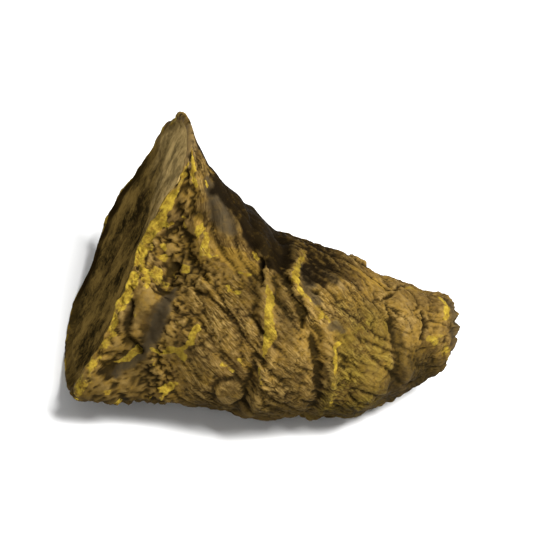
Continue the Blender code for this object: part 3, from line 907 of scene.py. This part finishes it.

# %% Painted light on the cut's top and front rim, and painted shade on its far edge
CUT_LIGHT_INSET, CUT_LIGHT_INSET_FADE, CUT_LIGHT_INSET_DRIFT = 0.80, 0.10, ((0.05, 1.8, 110),)
CUT_LIGHT_ABOVE = (8.0, 8.0)
CUT_LIGHT_LEVEL, CUT_LIGHT_LEVEL_FADE, CUT_LIGHT_LEVEL_DRIFT = 17.5, 10.0, ((2.5, 3.2, 111),)
CUT_LIGHT_EDGE = 0.6
CUT_LIGHT_RIM_LOST, CUT_LIGHT_RIM_FROM, CUT_LIGHT_RIM_BELOW = 0.7, (-0.05, 0.04), (30.0, 3.0)
FAR_EDGE_INSET, FAR_EDGE_INSET_FADE, FAR_EDGE_DRIFT = 0.78, 0.14, ((0.05, 2.0, 113),)
FAR_EDGE_BEHIND = (0.1, 0.4)
FAR_EDGE_BELOW = (20.0, 9.0)
FAR_EDGE_TO, FAR_EDGE_TO_FADE = math.radians(262.0), 0.5

raised = surface[..., 2] / MM
# Painted light: the cut is paler near its front rim and towards the top.
cut_light = ease((inset - CUT_LIGHT_INSET - layered(CUT_LIGHT_INSET_DRIFT)) / CUT_LIGHT_INSET_FADE)
cut_light = cut_light * in_front * rise(raised, *CUT_LIGHT_ABOVE)
cut_light_top = ease((raised - CUT_LIGHT_LEVEL - layered(CUT_LIGHT_LEVEL_DRIFT)) / CUT_LIGHT_LEVEL_FADE)
cut_light = np.maximum(CUT_LIGHT_EDGE * cut_light, cut_light_top)
cut_light *= 1.0 - CUT_LIGHT_RIM_LOST * rise(past_edge, *CUT_LIGHT_RIM_FROM) * fall(raised, *CUT_LIGHT_RIM_BELOW)
# Painted shade along the far lower edge of the cut.
far_edge_shade = ease((inset - FAR_EDGE_INSET - layered(FAR_EDGE_DRIFT)) / FAR_EDGE_INSET_FADE)
far_edge_shade = far_edge_shade * rise(-np.cos(angle), *FAR_EDGE_BEHIND)
far_edge_shade *= fall(raised, *FAR_EDGE_BELOW) * fall(angle, FAR_EDGE_TO, FAR_EDGE_TO_FADE)
print("worn over", round(float((cut_light > 0.5).mean()) * 100, 1), "% of the grid")

# %% [markdown]
# ## The mesh
# The grid becomes one closed mesh: quads between the rows, and a fan at each end. Remeshing would
# even out the points, but it would also move them off the values that were worked out for them.
# Here every mask goes onto the mesh as one number per point.

# %% Build the mesh
def root_mesh():
    row_count = len(rows)
    points = np.concatenate([surface.reshape(-1, 3), [middle], [end]])
    faces = []
    for r in range(row_count - 1):
        a, b = r * SIDES, (r + 1) * SIDES
        for s in range(SIDES):
            n = (s + 1) % SIDES
            faces.append((a + s, b + s, b + n, a + n))
    centre, last, first = len(points) - 2, len(points) - 1, (row_count - 1) * SIDES
    for s in range(SIDES):
        n = (s + 1) % SIDES
        faces.append((centre, s, n))
        faces.append((last, first + n, first + s))
    mesh = bpy.data.meshes.new("turmeric_root_surface")
    mesh.from_pydata(points.tolist(), [], faces)
    mesh.validate()
    return mesh


def store(mesh, name, values, ends):
    """Puts one number per grid point on the mesh, and the two end points' numbers after them."""
    layer = mesh.attributes.new(name, "FLOAT", "POINT")
    layer.data.foreach_set("value", np.concatenate([values.ravel(), ends]).astype(np.float32))


mesh = root_mesh()
masks = {
    **{"crease": crease, "crest": crest, "crumb": crumb_tone, "folded": folded},
    **{"yellow": yellow, "grey": grey, "dark": dark, "olive": olive, "shade_below": shade_below},
    **{"pale": pale_drawn, "ochre": ochre_drawn, "dull": shade_drawn},
    **{"inset": inset, "crack": face_crack, "cut_light": cut_light, "far_edge_shade": far_edge_shade},
}
for name, values in masks.items():
    store(mesh, name, values, [values[0].mean(), values[-1].mean()])
grain = mesh.attributes.new("wound", "FLOAT_VECTOR", "POINT")
wound_all = np.concatenate([wound.reshape(-1, 3), [wound[0].mean(axis=0)], [wound[-1].mean(axis=0)]])
grain.data.foreach_set("vector", wound_all.astype(np.float32).ravel())
mesh.shade_smooth()
root = bpy.data.objects.new("root_surface", mesh)
bpy.context.scene.collection.objects.link(root)
print("mesh:", len(mesh.vertices), "points,", sum(len(p.vertices) - 2 for p in mesh.polygons), "triangles")

# %% [markdown]
# ## Helpers for the materials
# A material is a graph of nodes. It could be wired by hand in the editor, but a script gives the
# same graph each time. A few small helpers keep it readable: they add a node and fill its inputs
# with links or plain values, mix two colours, do arithmetic, and read a mask or a noise.

# %% Node helpers
def add_node(tree, kind, inputs=None, **settings):
    """A new node with its settings made and its inputs linked or filled."""
    node = tree.nodes.new(kind)
    for name, value in settings.items():
        setattr(node, name, value)
    for name, value in (inputs or {}).items():
        if isinstance(value, bpy.types.NodeSocket):
            tree.links.new(value, node.inputs[name])
        else:
            node.inputs[name].default_value = value
    return node


def mix(tree, factor, first, second):
    """A colour between first and second."""
    node = add_node(tree, "ShaderNodeMix", {0: factor, 6: first, 7: second}, data_type="RGBA")
    return node.outputs[2]


def calc(tree, operation, first, second=0.0, clamp=False):
    """One step of arithmetic."""
    node = add_node(tree, "ShaderNodeMath", {0: first, 1: second}, operation=operation, use_clamp=clamp)
    return node.outputs[0]


def times(tree, first, second, clamp=False):
    return calc(tree, "MULTIPLY", first, second, clamp)


def plus(tree, first, second):
    return calc(tree, "ADD", first, second)


def minus(tree, first, second, clamp=False):
    return calc(tree, "SUBTRACT", first, second, clamp)


def mask_value(tree, name):
    """A mask stored on the mesh's points."""
    return add_node(tree, "ShaderNodeAttribute", attribute_name=name).outputs["Fac"]


def noise_value(tree, vector, size, detail=3.0, roughness=0.55):
    """Noise of 0 to 1 whose lumps are size across in the vector's own unit."""
    inputs = {"Vector": vector, "Scale": 1.0 / size, "Detail": detail, "Roughness": roughness}
    return add_node(tree, "ShaderNodeTexNoise", inputs).outputs["Fac"]


helpers = (add_node, mix, calc, times, plus, minus, mask_value, noise_value)
print("node helpers:", [helper.__name__ for helper in helpers])

# %% [markdown]
# ## Three shared effects
# Skin and flesh both need ragged edges between colours, and both carry a dusty grain too fine for
# the mesh. The skin also has folds of half a millimetre, in two sizes. Painting them by hand would
# take a texture. Each is a node group with named sockets instead, built once and placed where it is
# needed.

# %% A new group
FLOAT, VECTOR = "NodeSocketFloat", "NodeSocketVector"


def new_group(name, inputs, outputs):
    """An empty node group with float or vector sockets."""
    group = bpy.data.node_groups.new(name, "ShaderNodeTree")
    for direction, sockets in (("INPUT", inputs), ("OUTPUT", outputs)):
        for socket, kind in sockets.items():
            group.interface.new_socket(socket, in_out=direction, socket_type=kind)
    return group, group.nodes.new("NodeGroupInput"), group.nodes.new("NodeGroupOutput")


def cloud_of(group, vector, size, detail, roughness, distortion=0.0):
    """Noise in a group, whose lumps are as large as one of its inputs says."""
    inputs = {"Vector": vector, "Scale": calc(group, "DIVIDE", 1.0, size), "Detail": detail}
    inputs.update({"Roughness": roughness, "Distortion": distortion})
    return add_node(group, "ShaderNodeTexNoise", inputs).outputs["Fac"]


print("group helpers:", [helper.__name__ for helper in (new_group, cloud_of)])

# %% Ragged mask
def ragged_mask_group():
    """Turns a soft mask into a patch with a ragged, crumbly edge."""
    inputs = {"Mask": FLOAT, "Place": VECTOR, "Grain Size": FLOAT, "Ragged": FLOAT}
    group, given, made = new_group("ragged mask", inputs, {"Patch": FLOAT})
    cloud = cloud_of(group, given.outputs["Place"], given.outputs["Grain Size"], 4.0, 0.65)
    push = times(group, minus(group, cloud, 0.5), given.outputs["Ragged"])
    limits = {"Value": plus(group, given.outputs["Mask"], push), "From Min": 0.34, "From Max": 0.62}
    step = add_node(group, "ShaderNodeMapRange", limits, interpolation_type="SMOOTHSTEP")
    group.links.new(step.outputs["Result"], made.inputs["Patch"])
    return group


ragged_mask = ragged_mask_group()


def ragged(tree, mask, vector, size, amount):
    inputs = {"Mask": mask, "Place": vector, "Grain Size": size, "Ragged": amount}
    return add_node(tree, "ShaderNodeGroup", inputs, node_tree=ragged_mask).outputs["Patch"]


print("group:", ragged_mask.name)

# %% Dusty grain
def dusty_grain_group():
    """Fine grain: a height for the bump and a tone that lightens and darkens the colour."""
    inputs = {"Place": VECTOR, "Wound": VECTOR, "Grain Size": FLOAT}
    group, given, made = new_group("dusty grain", inputs, {"Height": FLOAT, "Tone": FLOAT})
    dust = cloud_of(group, given.outputs["Place"], given.outputs["Grain Size"], 5.0, 0.7)
    fibre_inputs = {"Vector": given.outputs["Wound"], "Scale": 2.4, "Detail": 3.0, "Roughness": 0.6}
    fibres = add_node(group, "ShaderNodeTexNoise", fibre_inputs).outputs["Fac"]
    group.links.new(times(group, plus(group, dust, fibres), 0.5), made.inputs["Height"])
    group.links.new(dust, made.inputs["Tone"])
    return group


dusty_grain = dusty_grain_group()


def grain_of(tree, vector, wound_vector, size):
    inputs = {"Place": vector, "Wound": wound_vector, "Grain Size": size}
    return add_node(tree, "ShaderNodeGroup", inputs, node_tree=dusty_grain)


print("group:", dusty_grain.name)

# %% Folds too small for the mesh
def fine_folds_group():
    """Folds too small for the mesh: rounded backs, 1 on top, with sharp creases of 0 between them."""
    inputs = {"Wound": VECTOR, "Spacing": FLOAT, "Waviness": FLOAT}
    group, given, made = new_group("fine folds", inputs, {"Height": FLOAT})
    waviness = given.outputs["Waviness"]
    cloud = cloud_of(group, given.outputs["Wound"], given.outputs["Spacing"], 1.0, 0.4, waviness)
    off = calc(group, "ABSOLUTE", minus(group, cloud, 0.5))
    height = calc(group, "POWER", times(group, off, 5.5, clamp=True), 0.7)
    group.links.new(height, made.inputs["Height"])
    return group


fine_folds = fine_folds_group()


def small_folds_of(tree, wound_vector, spacing, waviness):
    inputs = {"Wound": wound_vector, "Spacing": spacing, "Waviness": waviness}
    return add_node(tree, "ShaderNodeGroup", inputs, node_tree=fine_folds).outputs["Height"]


print("group:", fine_folds.name)

# %% [markdown]
# ## The skin
# Dried skin is earth brown. Its creases are darkened with painted shade, and its crests are painted
# paler, partly as rubbed wear and partly as painted highlight. Where it is rubbed off, the bright
# yellow flesh shows through. A painted texture would need the mesh unfolded. Here each colour is
# laid over the last through a mask instead, in the order in which the real ones came. Sizes are in
# millimetres.

# %% Skin colours
EARTH_DARK = (0.048, 0.027, 0.007, 1)
EARTH_MID = (0.122, 0.070, 0.017, 1)
EARTH_PALE = (0.246, 0.159, 0.047, 1)
OCHRE = (0.240, 0.140, 0.020, 1)
OLIVE = (0.105, 0.068, 0.008, 1)
OLIVE_PALE = (0.222, 0.159, 0.023, 1)
GREY = (0.044, 0.033, 0.018, 1)
UMBER = (0.045, 0.027, 0.010, 1)
# The next colour is the painted shadow on the back.
SHADOW_BLACK = (0.005, 0.003, 0.001, 1)
PALE = (0.180, 0.122, 0.050, 1)
CURCUMA = (0.360, 0.255, 0.026, 1)
CURCUMA_DEEP = (0.150, 0.088, 0.010, 1)
# The next colour is painted shade in the creases.
CREASE_SHADE = (0.006, 0.004, 0.001, 1)
# The next colour is painted shade, low on the chunk and in the dull patches.
SHADE_BROWN = (0.012, 0.008, 0.002, 1)
print("earth brown, from dark to pale:", EARTH_DARK[:3], EARTH_MID[:3], EARTH_PALE[:3])

# %% Helpers for a whole material
METRE_TO_MM = 1000.0


def mm_place(tree):
    """The point on the object, in millimetres."""
    where = add_node(tree, "ShaderNodeTexCoord").outputs["Object"]
    inputs = {0: where, "Scale": METRE_TO_MM}
    return add_node(tree, "ShaderNodeVectorMath", inputs, operation="SCALE").outputs[0]


def new_material(name):
    material = bpy.data.materials.new(name)
    material.use_nodes = True
    tree = material.node_tree
    return material, tree, tree.nodes["Principled BSDF"]


def lay(tree, colour, mask, strength, over):
    """A colour with another laid over it through a mask."""
    return mix(tree, times(tree, mask, strength, clamp=True), colour, over)


def finish(tree, shader, colour, tone, limits, relief, strength, depth):
    """Links the colour, a roughness between two limits, and a bump that is depth millimetres deep."""
    tree.links.new(colour, shader.inputs["Base Color"])
    dull_inputs = {"Value": tone, "To Min": limits[0], "To Max": limits[1]}
    dullness = add_node(tree, "ShaderNodeMapRange", dull_inputs).outputs["Result"]
    tree.links.new(dullness, shader.inputs["Roughness"])
    bump = add_node(tree, "ShaderNodeBump", {"Height": relief, "Strength": strength, "Distance": depth * MM})
    tree.links.new(bump.outputs["Normal"], shader.inputs["Normal"])


print("material helpers:", [helper.__name__ for helper in (mm_place, new_material, lay, finish)])

# %% The browns of the skin
SKIN_PATCHES = ((5.5, 1.0, 0.8, OCHRE), (3.7, 0.7, 1.0, UMBER))
SKIN_PATCH_STRENGTH = 0.55


def skin_ground(tree, spot, broad, fine_tone):
    """The browns of the skin, before pale crests, smears, bare flesh and painted shade."""
    tone = minus(tree, plus(tree, broad, times(tree, fine_tone, 1.2)), 0.62, clamp=True)
    colour = mix(tree, tone, EARTH_DARK, EARTH_MID)
    for size, grain_size, amount, over in SKIN_PATCHES:
        patch = ragged(tree, noise_value(tree, spot, size, 2.0), spot, grain_size, amount)
        colour = lay(tree, colour, patch, SKIN_PATCH_STRENGTH, over)
    colour = lay(tree, colour, ragged(tree, mask_value(tree, "ochre"), spot, 0.8, 0.7), 0.70, OCHRE)
    olive_patch = times(tree, mask_value(tree, "olive"), ragged(tree, broad, spot, 1.3, 0.9))
    colour = lay(tree, colour, olive_patch, 0.80, OLIVE)
    return lay(tree, colour, ragged(tree, mask_value(tree, "pale"), spot, 0.9, 0.5), 0.60, PALE)


print("patches on the browns:", len(SKIN_PATCHES))

# %% Crests painted pale, bare flesh and painted shade in creases
def rubbed_and_lit_crests(tree, folded, wrinkled, fine_tone):
    """Crests and backs of the small folds painted pale: partly rubbed wear, partly painted highlight."""
    backs = times(tree, times(tree, minus(tree, folded, 0.45, clamp=True), 1.8), wrinkled)
    lit = plus(tree, times(tree, mask_value(tree, "crest"), 0.55), backs)
    lit = times(tree, lit, minus(tree, times(tree, fine_tone, 2.2), 0.4, clamp=True))
    lit = times(tree, lit, plus(tree, mask_value(tree, "crumb"), 0.5))
    return times(tree, lit, minus(tree, 1.0, times(tree, mask_value(tree, "ochre"), 0.6)))


def bare_flesh(tree, spot):
    """Where the yellow flesh shows, broken up by small gaps."""
    gaps = minus(tree, times(tree, noise_value(tree, spot, 0.55, 2.0), 5.0), 2.85, clamp=True)
    whole = ragged(tree, mask_value(tree, "yellow"), spot, 0.8, 0.9)
    return times(tree, whole, minus(tree, 1.0, times(tree, gaps, 0.6)))


def shaded_creases(tree, folded, wrinkled, flesh):
    """Painted shade in the creases of the mesh and of the small folds, weaker where the flesh shows."""
    narrow = times(tree, minus(tree, 1.0, times(tree, folded, 2.1), clamp=True), wrinkled)
    shade = calc(tree, "MAXIMUM", mask_value(tree, "crease"), narrow)
    return times(tree, shade, minus(tree, 1.0, times(tree, flesh, 0.5)))


print("laid over the browns:", [layer.__name__ for layer in (rubbed_and_lit_crests, bare_flesh, shaded_creases)])

# %% Skin material
SMALL_FOLD_LAYERS = ((0.58, 0.7, 0.6), (0.36, 0.5, 0.4))
SKIN_GRAIN = 0.30
SKIN_ROUGHNESS = (0.62, 0.92)
SKIN_BUMP = 0.20
SKIN_SPECULAR = 0.02


def skin_material():
    material, tree, shader = new_material("turmeric_skin")
    spot = mm_place(tree)
    wound_place = add_node(tree, "ShaderNodeAttribute", attribute_name="wound").outputs["Vector"]
    grain = grain_of(tree, spot, wound_place, SKIN_GRAIN)
    layers = [(small_folds_of(tree, wound_place, *layer[:2]), layer[2]) for layer in SMALL_FOLD_LAYERS]
    folded = plus(tree, *[times(tree, height, share) for height, share in layers])
    wrinkled = mask_value(tree, "folded")
    broad = noise_value(tree, spot, 4.0, 2.0)
    fine_tone = noise_value(tree, spot, 0.7, 3.0, 0.65)

    colour = skin_ground(tree, spot, broad, fine_tone)
    crest_tone = mix(tree, mask_value(tree, "olive"), EARTH_PALE, OLIVE_PALE)
    # Crests painted paler: partly rubbed wear, partly painted highlight.
    colour = lay(tree, colour, rubbed_and_lit_crests(tree, folded, wrinkled, fine_tone), 1.0, crest_tone)
    grey_patch = times(tree, mask_value(tree, "grey"), plus(tree, fine_tone, 0.5), clamp=True)
    colour = lay(tree, colour, grey_patch, 0.90, GREY)
    # Painted shade over skin that lies low or faces down.
    colour = lay(tree, colour, mask_value(tree, "shade_below"), 0.76, SHADE_BROWN)
    flesh = bare_flesh(tree, spot)
    yellow_tone = minus(tree, times(tree, fine_tone, 3.4), 1.2, clamp=True)
    colour = lay(tree, colour, flesh, 0.90, mix(tree, yellow_tone, CURCUMA_DEEP, CURCUMA))
    # Painted shade in the creases.
    colour = lay(tree, colour, shaded_creases(tree, folded, wrinkled, flesh), 0.90, CREASE_SHADE)
    # Painted shade over the dull patches.
    dull = times(tree, mask_value(tree, "dull"), plus(tree, fine_tone, 0.3))
    colour = lay(tree, colour, dull, 0.85, SHADE_BROWN)
    # Painted shadow: the back behind the crest is laid near black.
    shadow_patch = times(tree, mask_value(tree, "dark"), plus(tree, fine_tone, 0.55), clamp=True)
    colour = lay(tree, colour, shadow_patch, 0.96, SHADOW_BLACK)

    relief = plus(tree, times(tree, folded, wrinkled), times(tree, grain.outputs["Height"], 0.5))
    finish(tree, shader, colour, grain.outputs["Tone"], SKIN_ROUGHNESS, relief, 0.9, SKIN_BUMP)
    shader.inputs["Specular IOR Level"].default_value = SKIN_SPECULAR
    return material


skin_look = skin_material()
print("skin:", len(skin_look.node_tree.nodes), "nodes")

# %% [markdown]
# ## The cut flesh
# The flesh dried hard and dull, olive brown, with a browner layer outside a thin pale ring. It is
# painted paler towards the top and near its front rim as painted light, and darker along its far
# lower edge as painted shade. The ring could be a curve on the face, but drawn from the stored inset
# it follows the outline by itself.

# %% Flesh material
FLESH_DARK = (0.013, 0.009, 0.003, 1)
FLESH_PALE = (0.176, 0.113, 0.030, 1)
# The next colour is painted light on the cut.
FLESH_LIT = (0.510, 0.360, 0.140, 1)
# The next colour serves both dirt and the painted shade of the cut's far edge.
FLESH_DIRT_AND_SHADE = (0.012, 0.007, 0.002, 1)
FLESH_CRACK = (0.020, 0.011, 0.004, 1)
CORTEX_BROWN = (0.060, 0.038, 0.010, 1)
RING_PALE = (0.120, 0.084, 0.030, 1)
RING_PALE_WIDTH = 0.014
FLESH_GRAIN = 0.35
FLESH_ROUGHNESS = (0.55, 0.85)
FLESH_BUMP = 0.25


def band(tree, value, middle_value, half_width):
    """1 at the middle value and 0 beyond the half width."""
    off = calc(tree, "ABSOLUTE", minus(tree, value, middle_value))
    return minus(tree, 1.0, calc(tree, "DIVIDE", off, half_width), clamp=True)


def flesh_material():
    material, tree, shader = new_material("turmeric_flesh")
    spot = mm_place(tree)
    wound_place = add_node(tree, "ShaderNodeAttribute", attribute_name="wound").outputs["Vector"]
    grain = grain_of(tree, spot, wound_place, FLESH_GRAIN)
    depth = mask_value(tree, "inset")
    cloudy = noise_value(tree, spot, 4.2, 4.0, 0.60)
    speckle = noise_value(tree, spot, 0.6, 4.0, 0.75)
    both = plus(tree, times(tree, cloudy, 3.2), times(tree, speckle, 2.0))
    tone = minus(tree, both, 2.15, clamp=True)

    colour = mix(tree, tone, FLESH_DARK, FLESH_PALE)
    limits = {"Value": depth, "From Min": CORTEX_EDGE - 0.01, "From Max": CORTEX_EDGE + 0.01}
    outer = add_node(tree, "ShaderNodeMapRange", limits).outputs["Result"]
    colour = lay(tree, colour, outer, 0.40, CORTEX_BROWN)
    colour = lay(tree, colour, band(tree, depth, CORTEX_EDGE, RING_PALE_WIDTH), 0.30, RING_PALE)
    # Painted light on the cut, towards the top and near the front rim.
    lit_flesh = times(tree, mask_value(tree, "cut_light"), plus(tree, tone, 0.40))
    colour = lay(tree, colour, lit_flesh, 0.85, FLESH_LIT)
    patch = ragged(tree, mask_value(tree, "yellow"), spot, 0.5, 0.6)
    colour = lay(tree, colour, patch, 0.75, CURCUMA_DEEP)
    dirt = minus(tree, times(tree, noise_value(tree, spot, 3.0, 3.0, 0.6), 3.0), 1.55, clamp=True)
    colour = lay(tree, colour, dirt, 0.45, FLESH_DIRT_AND_SHADE)
    colour = lay(tree, colour, mask_value(tree, "crack"), 0.75, FLESH_CRACK)
    # Painted shade along the far lower edge of the cut.
    edge_shade = times(tree, mask_value(tree, "far_edge_shade"), plus(tree, speckle, 0.5))
    colour = lay(tree, colour, edge_shade, 0.92, FLESH_DIRT_AND_SHADE)

    relief = plus(tree, grain.outputs["Height"], times(tree, cloudy, 1.5))
    finish(tree, shader, colour, speckle, FLESH_ROUGHNESS, relief, 0.6, FLESH_BUMP)
    shader.inputs["Specular IOR Level"].default_value = 0.0
    return material


flesh_look = flesh_material()
print("flesh:", len(flesh_look.node_tree.nodes), "nodes")

# %% [markdown]
# ## Skin and flesh on one mesh
# The rim is where skin turns into cut flesh, so both belong to one surface. The rows of the face and
# the fan in its middle get the flesh, and all other faces the skin. Two meshes would leave a seam.

# %% Give each face its material
mesh.materials.append(skin_look)
mesh.materials.append(flesh_look)
face_quads = (FACE_ROWS - 1) * SIDES
cut = np.zeros(len(mesh.polygons), dtype=np.int32)
cut[:face_quads] = 1
middle_fan = np.arange((len(rows) - 1) * SIDES, len(mesh.polygons), 2)
cut[middle_fan] = 1
mesh.polygons.foreach_set("material_index", cut)
mesh.update()
print("faces of flesh:", int(cut.sum()), "and of skin:", int((cut == 0).sum()))

# %% [markdown]
# ## Floor and light
# The chunk was photographed on white, in soft light from above. A lamp four times as broad as the
# chunk is long gives that, a weak one lights the front, and a pale world fills the shadows. A ring
# of many lamps would do it too, but would take longer to render.

# %% Floor and lights
FLOOR_SIDE = 3.0
FLOOR_COLOUR = (0.86, 0.86, 0.855, 1)
KEY_PLACE = Vector((0.22, -0.18, 0.50))
KEY_SIDE = 0.20
KEY_POWER = 7.4
FILL_PLACE = Vector((-0.30, -0.45, 0.30))
FILL_SIDE = 0.40
FILL_POWER = 0.9
WORLD_LIGHT = 0.28


def floor():
    half = FLOOR_SIDE / 2
    corners = [(-half, -half, 0), (half, -half, 0), (half, half, 0), (-half, half, 0)]
    sheet = bpy.data.meshes.new("floor")
    sheet.from_pydata(corners, [], [(0, 1, 2, 3)])
    material, tree, shader = new_material("floor")
    shader.inputs["Base Color"].default_value = FLOOR_COLOUR
    shader.inputs["Roughness"].default_value = 0.9
    sheet.materials.append(material)
    made = bpy.data.objects.new("floor", sheet)
    bpy.context.scene.collection.objects.link(made)
    return made


def soft_lamp(name, where, side, power):
    lamp = bpy.data.lights.new(name, "AREA")
    lamp.energy = power
    lamp.size = side
    made = bpy.data.objects.new(name, lamp)
    made.location = where
    made.rotation_euler = where.to_track_quat("Z", "Y").to_euler()
    bpy.context.scene.collection.objects.link(made)


floor()
soft_lamp("key", KEY_PLACE, KEY_SIDE, KEY_POWER)
soft_lamp("fill", FILL_PLACE, FILL_SIDE, FILL_POWER)
world = bpy.data.worlds.new("pale room")
world.use_nodes = True
world.node_tree.nodes["Background"].inputs["Color"].default_value = (1.0, 1.0, 1.0, 1.0)
world.node_tree.nodes["Background"].inputs["Strength"].default_value = WORLD_LIGHT
bpy.context.scene.world = world
bpy.context.scene.view_settings.view_transform = "Standard"
print("lamps in watts:", KEY_POWER, FILL_POWER)

# %% [markdown]
# ## Camera
# The photograph looks down on the chunk by 38 degrees. Its place was worked out from the outline, so
# that the chunk shows the same sides here. It could be set by eye, but then the form could not be
# compared. The camera stands there too and is turned to the chunk, with a lens 2.2 times longer, so
# that the chunk fills the picture.

# %% Camera
PHOTO_SIDE = 533
FOCAL_PIXELS = 741.0
VIEW_ELEVATION = math.radians(38.0)
VIEW_DISTANCE = 203.0
ANCHOR = np.array([0.0, 0.0, 13.0 - REST_LEVEL])
ANCHOR_PIXEL = (374.0, 327.0)
AIM_PIXEL = (374.0, 303.5)
CLOSER = 2.2
SENSOR = 36.0


def towards(pixel):
    """Direction of a photograph's pixel in the camera's own axes."""
    half = PHOTO_SIDE / 2
    return Vector((pixel[0] - half, half - pixel[1], -FOCAL_PIXELS)).normalized()


def photo_camera():
    rise, run = math.sin(VIEW_ELEVATION), math.cos(VIEW_ELEVATION)
    turned_down = Matrix(((1, 0, 0), (0, rise, -run), (0, run, rise)))
    anchor = Vector((ANCHOR + shift) * MM)
    where = anchor - turned_down @ towards(ANCHOR_PIXEL) * VIEW_DISTANCE * MM
    aim = Vector((0, 0, -1)).rotation_difference(towards(AIM_PIXEL)).to_matrix()
    data = bpy.data.cameras.new("camera")
    data.sensor_width = SENSOR
    data.lens = FOCAL_PIXELS * CLOSER / PHOTO_SIDE * SENSOR
    data.clip_start = 0.01
    data.clip_end = 10.0
    camera = bpy.data.objects.new("camera", data)
    camera.matrix_world = Matrix.Translation(where) @ (turned_down @ aim).to_4x4()
    bpy.context.scene.collection.objects.link(camera)
    return camera


bpy.context.scene.camera = photo_camera()
print("camera in mm:", [round(v / MM) for v in bpy.context.scene.camera.location])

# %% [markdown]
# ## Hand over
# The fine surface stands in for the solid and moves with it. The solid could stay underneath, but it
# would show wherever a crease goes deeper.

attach(root, "root")
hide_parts(NODE)
